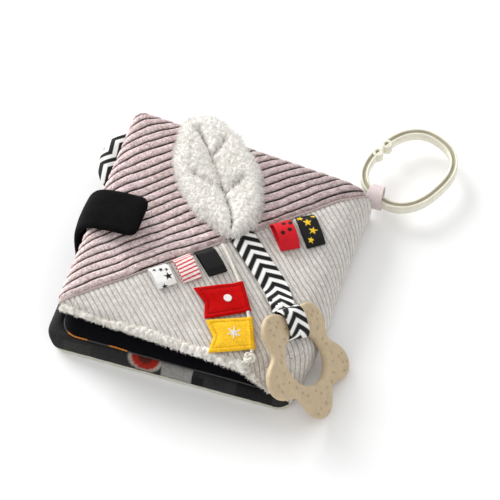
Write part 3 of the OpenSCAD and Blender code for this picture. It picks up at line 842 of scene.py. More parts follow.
def tape(name, x0, x1, y0, y1, zf, t, seed):
    X, Y = np.meshgrid(np.linspace(x0, x1, 36), np.linspace(y0, y1, 44), indexing="ij")
    h = zf(X, Y) + 0.35 * np.abs(noise2(X / 0.7, Y / 0.7, seed))
    top = np.stack([X, Y, h + t], -1)
    bot = np.stack([X, Y, zf(X, Y)], -1)
    n, m = X.shape
    V = np.vstack([top.reshape(-1, 3), bot.reshape(-1, 3)])
    Q = [quads_of(n, m), quads_of(n, m, flip=True, base=n * m)]
    edge_i = [(i, 0) for i in range(n)] + [(n - 1, j) for j in range(1, m)] + [(i, m - 1) for i in range(n - 2, -1, -1)] + [(0, j) for j in range(m - 2, 0, -1)]
    idx = np.array([i * m + j for i, j in edge_i])
    nx = np.roll(idx, -1)
    Q.append(np.stack([idx, nx, nx + n * m, idx + n * m], -1)[:, ::-1])
    return make(name, V, np.vstack(Q), mats=[HOOK])


hook = tape("closure_hooks", -66, -52, -16, 5, lambda X, Y: 50.3 + 0 * X, 0.6, 92)
loopp = tape("closure_loops", -66, -51.4, -16, 5, lambda X, Y: plane_z(X) + 4.4, 0.5, 93)


# ---------------------------------------------------------------- chevron tab


def chevron(x, y, period, slope, duty=0.5, soft=0.12):
    """0 in the black bands and 1 in the white ones; x runs along the ribbon, y across it, in millimetres."""
    q = ((x + slope * np.abs(y)) / period) % 1
    e = soft / period
    return smooth(q, 0, e * 2) * (1 - smooth(q, duty, duty + e * 2))


BLACK, INK, WHITE = lin((10, 10, 11)), lin((14, 13, 13)), lin((240, 239, 236))

ct_r = 24.0
th = np.linspace(0, np.pi, 141)
rr = np.concatenate([np.linspace(0.02, 0.9, 54), 1 - 0.1 * (1 - np.linspace(0.1, 1, 12)) ** 1.5])
RR, TH = np.meshgrid(rr, th, indexing="ij")
cx = -78.4 - 15.0 * np.abs(np.sin(TH)) ** 0.9 * RR
cy = 48 + ct_r * np.cos(TH) * RR
dd = (1 - RR) * 13
thick = 3.6 * np.sqrt(np.clip(1 - (1 - np.clip(dd / 6, 0, 1)) ** 2, 0, 1))
zc_ = 33.4 + 0.10 * (-78.4 - cx)


def zigzag(x, y):
    """Broad zigzag stripes over a place, 1 in the white ones."""
    u, v = 0.930 * x - 0.366 * y, -0.366 * x - 0.930 * y + 22.95
    w = np.abs(((v / 19.5) % 1) * 2 - 1) * 5.57
    q = ((u + w + 104.4) / 6.6) % 1
    return smooth(q, 0, 0.05) * (1 - smooth(q, 0.5, 0.55))


kz = zigzag(cx, cy)
ccol = BLACK + (WHITE - BLACK) * kz[..., None]
n_, m_ = RR.shape
topc = np.stack([cx, cy, zc_ + thick], -1)
botc = np.stack([cx, cy, zc_ - thick], -1)
V, Q, T, C, FM = join_parts([(topc, quads_of(n_, m_, flip=False), None, ccol.reshape(-1, 3), 0), (botc, quads_of(n_, m_, flip=True), None, ccol.reshape(-1, 3), 0)])
chev_tab = make("chevron_half_tab", V, Q, mats=[RIBBON], col=C)

# ---------------------------------------------------------------- the leaf

LEAF = np.array([(-38.2, 85.2), (-33, 87.2), (-26, 86.6), (-17.5, 83.2), (-11.0, 79.0), (-6.6, 74.6), (-0.6, 70.4), (5.2, 64.2), (10.6, 56.4), (15.0, 47.0), (17.4, 38.6), (19.2, 30.0), (18.6, 21.6), (14.8, 14.0),
                 (9.6, 8.6), (3.6, 7.4), (-2.9, 10.0), (-8.6, 12.8), (-16.0, 16.0), (-22.6, 20.6), (-28.6, 25.6), (-33.8, 32.2), (-38.8, 39.4), (-42.6, 47.0), (-44.4, 56.4), (-45.2, 66.0), (-46.2, 74.6), (-43.6, 81.2)])
lp = smooth_path(np.vstack([np.column_stack([LEAF, np.zeros(len(LEAF))]), [[*LEAF[0], 0]]]), 1.0)[:-1, :2]
seg = np.concatenate([[0], np.cumsum(np.linalg.norm(np.diff(np.vstack([lp, lp[:1]]), axis=0), axis=1))])
NL = 420
sv = np.linspace(0, seg[-1], NL, endpoint=False)
lpc = np.vstack([lp, lp[:1]])
lx, ly = np.interp(sv, seg, lpc[:, 0]), np.interp(sv, seg, lpc[:, 1])
LC = np.array([-12.0, 44.0])
ML = 62
f = 1 - np.linspace(0, 1, ML) ** 1.35
f = f[:-1]
# the top runs in from the outline, and the underside tucks under it
FX, FY = LC[0] + (lx[None] - LC[0]) * f[:, None], LC[1] + (ly[None] - LC[1]) * f[:, None]


def seg_dist(X, Y, pts):
    best = np.full(X.shape, 99.0)
    pts = np.asarray(pts, float)
    for (x0, y0), (x1, y1) in zip(pts[:-1], pts[1:]):
        dx, dy = x1 - x0, y1 - y0
        t = np.clip(((X - x0) * dx + (Y - y0) * dy) / (dx * dx + dy * dy), 0, 1)
        best = np.minimum(best, np.hypot(X - x0 - t * dx, Y - y0 - t * dy))
    return best


VEINS = [[(-36, 74), (-30.5, 69), (-22.8, 59.6), (-10.2, 41.6), (-1.5, 29.5), (2.6, 23), (5.6, 15.5), (6.6, 10)],
         [(-22.2, 59.2), (-19.8, 67), (-18.2, 73.5)], [(-5.5, 35.2), (-1.0, 44), (1.2, 50.5)], [(-6.5, 36.4), (-16, 38.6), (-29.0, 42.0)]]


def leaf_z(X, Y, D):
    h = 9.9 * dome(D, 7.5) ** 0.9 + 0.9 * noise2(X / 8, Y / 8, 12) * smooth(D, 2, 9)
    dv = np.full(X.shape, 99.0)
    for i, v in enumerate(VEINS):
        dv = np.minimum(dv, seg_dist(X, Y, v) + (0 if i == 0 else 0.35))
    h = h - (5.2 * np.exp(-(dv / 2.3) ** 2) + 1.6 * np.exp(-(dv / 7.0) ** 2)) * smooth(D, 1, 8)
    return h, dv


# distance to the outline for each point
def outline_dist(X, Y, ox, oy):
    out = np.full(X.shape, 1e9)
    step = max(1, len(ox) // 160)
    for a in range(0, len(ox), step):
        out = np.minimum(out, np.hypot(X - ox[a], Y - oy[a]))
    return out


DL = outline_dist(FX, FY, lx, ly)
DL[0] = 0
hz, dv = leaf_z(FX, FY, DL)
curl = 1 - np.clip(cells(FX / 3.0 + 0.35 * noise2(FX / 5, FY / 5, 6), FY / 3.0, 7) / 0.75, 0, 1) ** 1.6
curl2 = 1 - np.clip(cells(FX / 1.5, FY / 1.5, 8) / 0.75, 0, 1) ** 1.4
fuzz = noise2(FX / 0.7, FY / 0.7, 9)
near = np.exp(-(dv / 1.2) ** 2)
disp = (1.15 * curl + 0.40 * curl2 + 0.20 * fuzz + 0.6 * noise2(FX / 9, FY / 9, 10)) * (1 - 0.75 * near)
base = np.stack([FX, FY, under_z(FX, FY) + 3.2 + hz], -1)
Nl = normals_of(base, wrap_m=True)
Nl *= np.sign(Nl[..., 2:3] + 1e-9)
Pl = base + Nl * disp[..., None]
LWHITE, LSHADE = lin((249, 247, 242)), lin((216, 213, 207))
cm = np.clip(0.45 * curl + 0.35 * curl2 + 0.2 * (0.5 + 0.5 * fuzz), 0, 1)[..., None] ** 0.7
lcol = LSHADE * (1 - cm) + LWHITE * cm
# Painted shade: the colour is darkened along the vein creases.
lcol = lcol * (1 - 0.45 * np.exp(-(dv / 0.9) ** 2) * smooth(DL, 1, 5))[..., None]
# underside
g = np.linspace(1, 0, 10)[1:-1]
UX, UY = LC[0] + (lx[None] - LC[0]) * g[:, None], LC[1] + (ly[None] - LC[1]) * g[:, None]
Ub = np.stack([UX, UY, under_z(UX, UY) + 3.0], -1)
allp = np.concatenate([Ub[::-1], Pl], 0)
nl = len(allp)
Vl = np.vstack([allp.reshape(-1, 3), (LC[0], LC[1], float(under_z(np.array([LC[0]]), np.array([LC[1]]))[0]) + 3.0), Pl[-1].mean(0)])
Ql = quads_of(nl, NL, wrap_m=True)
Tl = [(nl * NL, i, (i + 1) % NL) for i in range(NL)] + [(nl * NL + 1, (nl - 1) * NL + (i + 1) % NL, (nl - 1) * NL + i) for i in range(NL)]
cl = np.concatenate([np.ones((len(Ub) * NL, 3)) * LSHADE, lcol.reshape(-1, 3), [LSHADE, LWHITE]])
leaf = make("sherpa_leaf_pad", Vl, Ql[:, ::-1], [t[::-1] for t in Tl], mats=[SHERPA], col=cl)

gl = np.random.default_rng(21)
nlh = 7000
ri = np.minimum((gl.random(nlh) ** 1.7 * (len(Pl) - 2)).astype(int), len(Pl) - 2)
rj = gl.integers(0, NL, nlh)
okh = dv[ri, rj] > 1.6
ri, rj = ri[okh], rj[okh]
outw = np.stack([lx - LC[0], ly - LC[1], 0 * lx], -1)
outw /= np.linalg.norm(outw, axis=1, keepdims=True)
edge_w = np.exp(-DL[ri, rj] / 3.5)[:, None]
ld = Nl[ri, rj] * (0.55 + 0.2 * (1 - edge_w)) + outw[rj] * 1.1 * edge_w + gl.normal(0, 0.5, (len(ri), 3))
leaf_hair = hairs("leaf_fleece_tufts", Pl[ri, rj] - Nl[ri, rj] * 0.35, ld, 2.7, 0.42, [SHERPA], lin((241, 239, 234)), 22, curl=0.9)
leaf_hair.visible_shadow = False

# stitches sunk in the veins
sv_parts = []
for v in VEINS:
    p = smooth_path(np.column_stack([np.array(v), np.zeros(len(v))]), 0.5)
    arc = np.concatenate([[0], np.cumsum(np.linalg.norm(np.diff(p, axis=0), axis=1))])
    at = np.arange(0.6, arc[-1] - 1.8, 2.9)
    for s0 in at:
        q = np.linspace(s0, s0 + 2.1, 6)
        x, y = np.interp(q, arc, p[:, 0]), np.interp(q, arc, p[:, 1])
        D = outline_dist(x, y, lx, ly)
        h, _ = leaf_z(x, y, D)
        z = under_z(x, y) + 3.2 + h + 0.75 + 0.25 * np.sin(np.linspace(0, np.pi, 6))
        a, b, c = tube_parts(np.stack([x, y, z], -1), 0.26, 6)
        sv_parts.append((a, b, c, lin((150, 146, 140)), 0))
V, Q, T, C, FM = join_parts(sv_parts)
leaf_stitch = make("leaf_stitches", V, Q, T, mats=[THREAD], col=C)

# ---------------------------------------------------------------- ribbons with prints


def in_star(x, y, cx, cy, R, rot=0.0):
    """Inside a five-pointed star."""
    a = np.arctan2(y - cy, x - cx) - rot
    r = np.hypot(x - cx, y - cy)
    s = np.pi / 5
    a = np.abs(((a + s) % (2 * s)) - s)
    # edge from the tip at angle 0, radius R to the notch at angle s, radius 0.42 R
    ax, ay, bx, by = R, 0.0, 0.42 * R * math.cos(s), 0.42 * R * math.sin(s)
    X, Y = r * np.cos(a), r * np.sin(a)
    return ((bx - ax) * (Y - ay) - (by - ay) * (X - ax)) >= 0


def strip(name, centre, side, colf, t=0.55, w=12.5, mats=None, nw=60, thick_edge=True):
    """A ribbon along centre points (m, 3) with side vectors (m, 3); colf(s, q) colours it by length and place across, in millimetres."""
    c = np.asarray(centre, float)
    sd = np.asarray(side, float)
    sd = sd / np.linalg.norm(sd, axis=1, keepdims=True)
    m = len(c)
    q = np.linspace(-w / 2, w / 2, nw)
    arc = np.concatenate([[0], np.cumsum(np.linalg.norm(np.diff(c, axis=0), axis=1))])
    mid = c[:, None, :] + sd[:, None, :] * q[None, :, None]
    N = normals_of(mid)
    top = mid + N * t / 2
    bot = mid - N * t / 2
    S, Qq = np.meshgrid(arc, q, indexing="ij")
    ctop = colf(S, Qq, True)
    cbot = colf(S, Qq, False)
    V = np.vstack([top.reshape(-1, 3), bot.reshape(-1, 3)])
    n = m * nw
    Q = [quads_of(m, nw), quads_of(m, nw, flip=True, base=n)]
    e = [(i, 0) for i in range(m)] + [(m - 1, j) for j in range(1, nw)] + [(i, nw - 1) for i in range(m - 2, -1, -1)] + [(0, j) for j in range(nw - 2, 0, -1)]
    idx = np.array([i * nw + j for i, j in e])
    nx = np.roll(idx, -1)
    Q.append(np.stack([idx, idx + n, nx + n, nx], -1))
    C = np.vstack([ctop.reshape(-1, 3), cbot.reshape(-1, 3)])
    return make(name, V, np.vstack(Q), mats=mats or [RIBBON], col=C)


def cover_pt(x, y, h):
    """A point h above the front cover's seam plane, over (x, y) of that plane."""
    x, y, h = np.broadcast_arrays(np.asarray(x, float), np.asarray(y, float), np.asarray(h, float))
    return np.stack([x + h * ST, y, plane_z(x) + h * CT], -1)


def tag_obj(name, p0, p1, q0, q1, colf, lift=2.6, w=12.5, body_len=16.5, sag=0.0, open_loop=0.0, seed=0):
    """A ribbon folded double: sewn at the join along p0-p1, its fold at q0-q1 (places on the cover)."""
    p0, p1, q0, q1 = (np.array(v, float) for v in (p0, p1, q0, q1))
    root, tip = (p0 + p1) / 2, (q0 + q1) / 2
    L = np.linalg.norm(tip - root)
    n = 46
    s = np.linspace(0, 1, n)
    # up the top layer, round the fold, back underneath
    top_h = 4.7 + lift * np.sin(s * np.pi) ** 0.8 * 0.35 + (lift + 1.2) * smooth(s, 0, 0.25) - 0.9 * smooth(s, 0.82, 1.0) * (lift + 0.3) * 0.5 + open_loop * np.sin(s * np.pi)
    hx = root[0] + (tip[0] - root[0]) * s
    hy = root[1] + (tip[1] - root[1]) * s
    top = cover_pt(hx, hy, top_h)
    hb = top_h[-1]
    ft = np.linspace(0, np.pi, 11)[1:-1]
    low_h = 5.0
    rad = (hb - low_h) / 2
    fx = tip[0] + (tip - root)[0] / L * rad * 0.8 * np.sin(ft)
    fy = tip[1] + (tip - root)[1] / L * rad * 0.8 * np.sin(ft)
    fold = cover_pt(fx, fy, low_h + rad + rad * np.cos(ft))
    back = cover_pt(hx[::-1], hy[::-1], np.full(n, low_h) - 0.3 * s)
    c = np.vstack([top, fold, back])
    side0, side1 = (p1 - p0), (q1 - q0)
    sv = np.concatenate([s, np.ones(len(ft)), s[::-1]])
    side = np.stack([side0[0] + (side1 - side0)[0] * sv, side0[1] + (side1 - side0)[1] * sv, 0 * sv], -1)
    side[:, 2] = -FALL * side[:, 0]
    return strip(name, c, side, colf, w=w, t=0.5, nw=52)


def plain(colr):
    def f(S, Q, top):
        return np.ones(S.shape + (3,)) * colr
    return f


def stars_col(bg, fg, stars, edge=None):
    def f(S, Q, top):
        c = np.ones(S.shape + (3,)) * bg
        for (s0, q0, R, rot) in stars:
            c[in_star(S, Q, s0, q0, R, rot)] = fg
        if edge is not None:
            c[np.abs(Q) > 5.6] = edge
        return c
    return f


def stripe_col(S, Q, top):
    k = ((S + 0.12 * Q + 40) / 2.75) % 1
    e = smooth(k, 0, 0.12) * (1 - smooth(k, 0.44, 0.56))
    red, wh = lin((206, 58, 68)), lin((238, 232, 228))
    return wh + (red - wh) * e[..., None]


def dots_col(S, Q, top):
    c = np.ones(S.shape + (3,)) * lin((206, 18, 34))
    for s0, q0 in ((2.6, -3.6), (5.2, 3.4), (9.6, 0.4), (10.4, 4.6), (15.2, 2.4), (16.2, -2.6)):
        c[np.hypot(S - s0, Q - q0) < 1.45] = lin((44, 8, 14))
    return c


GOLD = lin((238, 196, 40))
star_t = tag_obj("tag_stars", (-34.6, -35.4), (-25.2, -26.6), (-23.6, -46.6), (-14.4, -37.8), stars_col(WHITE, INK, [(4.2, -3.6, 1.7, 0.3), (5.6, 0.4, 1.9, 0.9), (6.6, 3.8, 1.5, 0.9), (11.6, 2.8, 3.1, 0.5), (17.4, -2.2, 2.2, 0.5)]), lift=1.2)
stripe_t = tag_obj("tag_stripes", (-22.6, -22.8), (-13.8, -13.6), (-11.2, -36.6), (-0.8, -27.4), stripe_col, lift=1.4)
plain_t = tag_obj("tag_plain_black", (-11.4, -11.6), (-2.4, -3.6), (2.4, -25.6), (12.4, -16.8), plain(lin((14, 14, 15))), lift=1.6)
dot_t = tag_obj("tag_dots", (26.6, 26.6), (36.0, 34.6), (39.4, 11.0), (49.0, 17.6), dots_col, lift=3.2, open_loop=2.4)
gold_t = tag_obj("tag_gold_stars", (40.4, 38.4), (50.2, 45.0), (54.4, 19.2), (63.4, 26.6), stars_col(INK, GOLD, [(2.4, -4.0, 2.7, 0.2), (7.6, -0.6, 3.0, 0.5), (14.4, 0.9, 3.0, 0.2), (2.6, 4.6, 2.0, 0.2), (20.6, -2.6, 2.4, 0.2)]), lift=1.4)

# ---------------------------------------------------------------- the strap and its snap

TC = np.array([77.4, -59.3, 27.3])
TT = math.radians(45.5)
TURN = -3.5
VALLEY = 144 + TURN


def tooth_at(ang, r, n):
    a = np.radians(ang)
    return TC + np.stack([r * np.cos(a) * math.cos(TT) + n * math.sin(TT), r * np.sin(a) + 0 * n, -r * np.cos(a) * math.sin(TT) + n * math.cos(TT)], -1)


def chev_col(S, Q, top):
    k = chevron(S + 2.0, Q, 7.75, -0.85, 0.56, 0.14)
    c = BLACK + (WHITE - BLACK) * (1 - k)[..., None]
    return c


# flat part: from under the leaf to where the strap lifts, then up to the rim, over it into the hole, and back beneath to the snap
flat = [cover_pt(x, y, 5.3) for x, y in ((8.2, 15.9), (13.2, 11.4), (21.4, 4.0), (30.0, -3.9), (38.2, -11.1), (43.9, -16.5))]
rise = [cover_pt(47.0, -20.6, 6.4), cover_pt(49.8, -25.6, 8.2), cover_pt(52.4, -30.2, 10.4), cover_pt(55.0, -34.4, 11.8)]
over = [tooth_at(VALLEY, 33.6, 1.6), tooth_at(VALLEY, 30.6, 4.6), tooth_at(VALLEY, 26.8, 5.4), tooth_at(VALLEY, 21.6, 5.2), tooth_at(VALLEY, 17.2, 4.6), tooth_at(VALLEY, 14.8, 2.8), tooth_at(VALLEY, 14.0, 0.0),
        tooth_at(VALLEY, 14.9, -2.9), tooth_at(VALLEY, 18.0, -4.0), tooth_at(VALLEY, 24.0, -4.0), tooth_at(VALLEY, 29.6, -3.8), cover_pt(57.0, -37.2, 9.0), cover_pt(53.0, -32.0, 8.2), cover_pt(50.4, -27.6, 7.2)]
path = smooth_path(np.array(flat + rise + over), 0.65)
arc = np.concatenate([[0], np.cumsum(np.linalg.norm(np.diff(path, axis=0), axis=1))])
tan = np.gradient(path, axis=0)
tan /= np.linalg.norm(tan, axis=1, keepdims=True)
s_flat = np.cross(np.broadcast_to(NC, tan.shape), tan)
tooth_side = np.cross(tooth_at(0, 0, 1) - tooth_at(0, 0, 0), tooth_at(VALLEY, 0, 0) - tooth_at(VALLEY, 10, 0))
tooth_side /= np.linalg.norm(tooth_side)
s_flat /= np.linalg.norm(s_flat, axis=1, keepdims=True)
i_lift = int(np.argmin(np.linalg.norm(path - flat[-1], axis=1)))
i_rim = int(np.argmin(np.linalg.norm(path - over[0], axis=1)))
wmix = smooth(np.arange(len(path)), i_lift - 2, i_rim + 3) * 0.86
sgn = np.sign((s_flat[i_lift] * tooth_side).sum())
side = s_flat * (1 - wmix)[:, None] + tooth_side * sgn * wmix[:, None]
side -= (side * tan).sum(1, keepdims=True) * tan
side /= np.linalg.norm(side, axis=1, keepdims=True)
strap = strip("chevron_strap", path, side, chev_col, t=0.9, w=16.2, nw=62)

sn_d = rise[2] - rise[1]
sn_d /= np.linalg.norm(sn_d)
sn_s = np.cross(NC, sn_d)
sn_s /= np.linalg.norm(sn_s)
sn_n = np.cross(sn_d, sn_s)


def disc(name, c, n, s, prof, mats, seg=40, col=None):
    """A turned shape about axis n at c; prof is [(radius, height)]."""
    d = np.cross(n, s)
    k = np.arange(seg) * 2 * np.pi / seg
    V = np.array([c + n * h + r * (math.cos(a) * s + math.sin(a) * d) for r, h in prof for a in k])
    Q = quads_of(len(prof), seg, wrap_m=True)
    V = np.vstack([V, c + n * prof[0][1], c + n * prof[-1][1]])
    m = len(prof)
    T = [(m * seg, (i + 1) % seg, i) for i in range(seg)] + [(m * seg + 1, (m - 1) * seg + i, (m - 1) * seg + (i + 1) % seg) for i in range(seg)]
    return make(name, V, Q[:, ::-1], T, mats=mats, col=col)


cap_c = np.array([52.2, -33.6, 0]) + np.array([0, 0, plane_z(52.2) + 10.6])
snap_cap = disc("snap_cap_white", cap_c, sn_n, sn_s, [(0.01, 0.0), (3.0, 0.0), (3.2, 0.25), (3.1, 0.9), (2.6, 1.35), (1.6, 1.55), (0.8, 1.5), (0.4, 1.4)], [SNAP])
snap_stud = disc("snap_stud_white", cap_c - sn_n * 1.3, -sn_n, sn_s, [(0.01, 0.0), (3.0, 0.0), (3.1, 0.4), (2.4, 0.9), (1.2, 1.4), (0.5, 1.4)], [SNAP])

# ---------------------------------------------------------------- the cord, its knot and the pennants


def c2w(p):
    """A point of the front cover's own frame, as the CAD states it."""
    p = np.asarray(p, float)
    return np.stack([p[..., 0] * CT + p[..., 2] * ST, p[..., 1], FORE_Z - FALL * 80 + p[..., 2] * CT - p[..., 0] * ST], -1)


CP = [[3.4, 0.6, 5.3], [5.6, -2, 5.8], [9, -6, 6.2], [12.4, -10, 6.2], [15.8, -14.2, 6.2], [19.2, -18.6, 6.2], [22.6, -22.8, 6.2], [25.1, -26.8, 6.2], [27.6, -30.8, 6.2], [30.1, -34.8, 6.2],
      [32.6, -38.8, 6.2], [34.6, -42.2, 6.2], [36.4, -45.8, 6.2], [38.2, -50.2, 6.2], [40, -54.6, 6.2], [41.8, -59, 6.2], [43.6, -63.4, 6.2], [45.4, -67.8, 6.2], [46, -70.2, 6.2]]
cpath = smooth_path(c2w(np.array(CP)), 0.5)
v, q, t = tube_parts(cpath, 1.12, 12, twist=0.55, lobes=3, lobe=0.13)
cord = make("pennant_cord", v, q, t, mats=[CORD])

# an overhand knot and its frayed end
kc = c2w(np.array([45.9, -74.0, 6.4]))
kt = np.linspace(0, 2 * np.pi, 90)
kx = (2 + 0.9 * np.cos(3 * kt)) * np.cos(2 * kt) * 1.15
ky = (2 + 0.9 * np.cos(3 * kt)) * np.sin(2 * kt) * 1.15
kz = 1.0 * np.sin(3 * kt)
kp = kc + np.stack([kx, ky * 0.85, kz + 0.3], -1)
v1, q1, t1 = tube_parts(kp, 1.05, 10, twist=0.55, lobes=3, lobe=0.12, caps=False)
parts = [(v1, q1, t1, lin((226, 222, 212)), 0)]
for i in range(26):
    a = i * 2.399
    e = np.array([-1.2 + 2.6 * math.cos(a), -4.0 - 2.0 * abs(math.sin(a * 1.7)), 0.2 + 1.3 * math.sin(a)])
    fp = smooth_path(np.array([kc + [0.3, -1.2, 0], kc + e * 0.55, kc + e]), 0.4)
    v2, q2, t2 = tube_parts(fp, np.linspace(0.45, 0.25, len(fp)), 6)
    parts.append((v2, q2, t2, lin((226, 222, 212)), 0))
V, Q, T, C, FM = join_parts(parts)
knot = make("cord_end_knot", V, Q, T, mats=[CORD])


def pennant(name, p, q, s0, s1, more, colr, deco, edge_col, length=30.0, seed=0):
    """A felt pennant in the front cover's frame: p and q are the ends of its sleeve."""
    p, q = np.array(p, float), np.array(q, float)
    l = np.linalg.norm((q - p)[:2])
    ex = np.append((q - p)[:2] / l, 0)
    ey = np.array([-ex[1], ex[0], 0])
    nu, nv = 84, 106
    U, Vv = np.meshgrid(np.linspace(0, 1, nu), np.linspace(0, 1, nv), indexing="ij")  # U along the sleeve, V towards the tail
    notch = 4.0 * (1 - np.abs(2 * U - 1)) ** 1.1
    far = length + more * (1 - U) + more / 3 * U - notch
    X = U * l + (s0 * (1 - U) + s1 * U) * Vv
    Y = 2.4 - far * Vv
    # distances to the edges, for the puffed rim and the stitch line
    dU = np.minimum(U, 1 - U) * l
    dV = np.minimum(Vv, 1 - Vv) * far
    d = np.minimum(dU, dV)
    puffy = np.sqrt(np.clip(1 - (1 - np.clip(d / 1.4, 0, 1)) ** 2, 0, 1))
    sleeve = np.exp(-((Y) / 1.7) ** 2)
    stitch = np.exp(-((d - 2.6) / 0.45) ** 2)
    h = 0.25 + 1.0 * puffy + 0.35 * smooth(d, 2.6, 6) + 0.75 * sleeve - 0.35 * stitch * (1 - sleeve)
    bend = 0.9 * noise2(X / 16 + seed, Y / 16, 100 + seed) + 0.6 * smooth(Vv, 0.5, 1.0) * np.sin(U * 5 + seed)
    cm = deco(X, Y, l)
    col = np.ones(X.shape + (3,)) * colr
    dash = ((np.where(dU < dV, Vv * far, U * l) / 2.2) % 1) < 0.68
    st = (np.abs(d - 2.6) < 0.32) & dash
    col[st] = edge_col
    h = h + 0.22 * st
    for mask, c, lift in cm:
        col[mask] = c
        h = h + lift * mask
    col = col * (1 + 0.07 * noise2(X / 1.0, Y / 1.0, 103))[..., None]
    cen = p + ex * X[..., None] + ey * Y[..., None] + np.array([0, 0, 1.0]) * (bend * smooth(-Y, -1, 6))[..., None]
    top = c2w(cen + np.array([0, 0, 1.0]) * h[..., None])
    bot = c2w(cen - np.array([0, 0, 1.0]) * (0.25 + 0.75 * puffy + 0.8 * sleeve)[..., None])
    n = nu * nv
    V = np.vstack([top.reshape(-1, 3), bot.reshape(-1, 3)])
    Qs = [quads_of(nu, nv, flip=True), quads_of(nu, nv, base=n)]
    e = [(i, 0) for i in range(nu)] + [(nu - 1, j) for j in range(1, nv)] + [(i, nv - 1) for i in range(nu - 2, -1, -1)] + [(0, j) for j in range(nv - 2, 0, -1)]
    idx = np.array([i * nv + j for i, j in e])
    nx = np.roll(idx, -1)
    Qs.append(np.stack([idx, nx, nx + n, idx + n], -1))
    return make(name, V, np.vstack(Qs), mats=[FELT], col=np.vstack([col.reshape(-1, 3), np.ones((n, 3)) * colr]))


def dot_deco(X, Y, l):
    m = np.hypot((X - l * 0.5), (Y + 10.5)) < 2.6
    return [(m, WHITE_FELT, 0.35)]


def star_deco(X, Y, l):
    cx, cy = l * 0.52, -10.5
    r, a = np.hypot(X - cx, Y - cy), np.arctan2(Y - cy, X - cx)
    rays = (r < 4.4) & (np.abs(np.sin(a * 3 + 0.4)) < 0.35 + 0.35 * np.exp(-r / 1.2))
    return [(rays, lin((222, 222, 220)), 0.3), (in_star(X, Y, cx, cy, 3.2, 0.5), lin((236, 236, 232)), 0.1)]


red_p = pennant("pennant_red", [22.6, -22.8, 6.2], [34.2, -41.5, 6.2], 0, 1.2, 2.7, lin((192, 8, 10)), dot_deco, lin((140, 6, 8)), seed=1)
yel_p = pennant("pennant_yellow", [36.3, -45.4, 6.2], [45.2, -67.4, 6.2], 2.5, 2.5, 0, lin((246, 194, 46)), star_deco, lin((220, 160, 26)), seed=2)

# ---------------------------------------------------------------- the teething ring

NA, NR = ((360, 38))
ang = np.arange(NA) * 2 * np.pi / NA


def tooth_out(a):
    b = a - math.radians(TURN)
    return 33.6 - 5.8 * np.cos(5 * b) - 0.5 * np.cos(10 * b)


RO, RI, HT = tooth_out(ang), np.full(NA, 17.2), 2.8
rng = np.random.default_rng(4)
dimples = []
for lobe in range(5):
    a0 = math.radians(36 + TURN + 72 * lobe)
    for k in range(10):
        dimples.append((a0 + rng.uniform(-0.2, 0.2), rng.uniform(27.5, 36.5), rng.uniform(0, 3.1)))
for k in range(24):
    dimples.append((2 * math.pi * k / 24 + rng.uniform(-0.06, 0.06), rng.uniform(20.0, 24.5), rng.uniform(0, 3.1)))
kept = []
for a, r, o in dimples:
    x, y = r * math.cos(a), r * math.sin(a)
    if all(math.hypot(x - u, y - w) > 3.4 for u, w, _ in kept):
        kept.append((x, y, o))


def face(sign):
    g = np.linspace(0, 1, NR)
    g = g - 0.55 * np.sin(2 * np.pi * g) / (2 * np.pi)
    R = RI[None] + (RO - RI)[None] * g[:, None]
    A = np.repeat(ang[None], NR, 0)
    d = np.minimum(R - RI[None], (RO[None] - R) * 0.92)
    e = np.sqrt(np.clip(1 - (1 - np.clip(d / 2.4, 0, 1)) ** 2, 0, 1))
    h = (HT - 2.3) + 2.1 * e + 0.2 * smooth(d, 2, 7)
    X, Y = R * np.cos(A), R * np.sin(A)
    dm = np.zeros(X.shape)
    for x, y, o in kept:
        u, w = (X - x) * math.cos(o) + (Y - y) * math.sin(o), -(X - x) * math.sin(o) + (Y - y) * math.cos(o)
        dm = np.maximum(dm, np.exp(-((u / 1.15) ** 2 + (w / 0.62) ** 2)))
    h = h - 0.5 * dm
    return X, Y, sign * h, dm, d


Xf, Yf, Zf, dmf, df = face(1)
Xb, Yb, Zb, dmb, db = face(-1)
E1 = np.array([math.cos(TT), 0, -math.sin(TT)])
E2 = np.array([0.0, 1, 0])
E3 = np.array([math.sin(TT), 0, math.cos(TT)])


def tw(X, Y, Z):
    return TC + X[..., None] * E1 + Y[..., None] * E2 + Z[..., None] * E3


ring_pts = np.concatenate([tw(Xf, Yf, Zf), tw(Xb, Yb, Zb)[::-1]], 0)
dm = np.concatenate([dmf, dmb[::-1]], 0)
# The dimples get a darker brown: painted shade in the dimple hollows.
TB, TEETHER_DIMPLE_SHADE = lin((194, 174, 142)), lin((136, 113, 82))
tcol = TB * (1 - 0.6 * dm[..., None]) + TEETHER_DIMPLE_SHADE * 0.6 * dm[..., None]
gx = np.concatenate([Xf, Xb[::-1]], 0)
gy = np.concatenate([Yf, Yb[::-1]], 0)
tcol = tcol * (1 + 0.02 * noise2(gx / 2.5, gy / 2.5, 7))[..., None]
teether = make("teething_ring_lobed", ring_pts, quads_of(2 * NR, NA, wrap_n=True, wrap_m=True), mats=[TEETHER], col=tcol.reshape(-1, 3))

# ---------------------------------------------------------------- the link ring

LCN = np.array([95.0, 112.5, 11.5])
LA = math.radians(64.6)
LW, LL, LB, LH = 24.5, 30.7, 5.0, 7.0


def oval(a, w, l, n=2.4):
    c, s = np.cos(a), np.sin(a)
    k = ((np.abs(c) / l) ** n + (np.abs(s) / w) ** n) ** (-1 / n)
    return np.stack([k * c, k * s], -1)


g0 = math.radians(90 - 5.5)
la = np.linspace(math.radians(90 + 5.5), math.radians(450 - 5.5), 300)
midl = oval(la, LW, LL)
tn = np.gradient(midl, axis=0)
tn /= np.linalg.norm(tn, axis=1, keepdims=True)
nn = np.stack([tn[:, 1], -tn[:, 0]], -1)
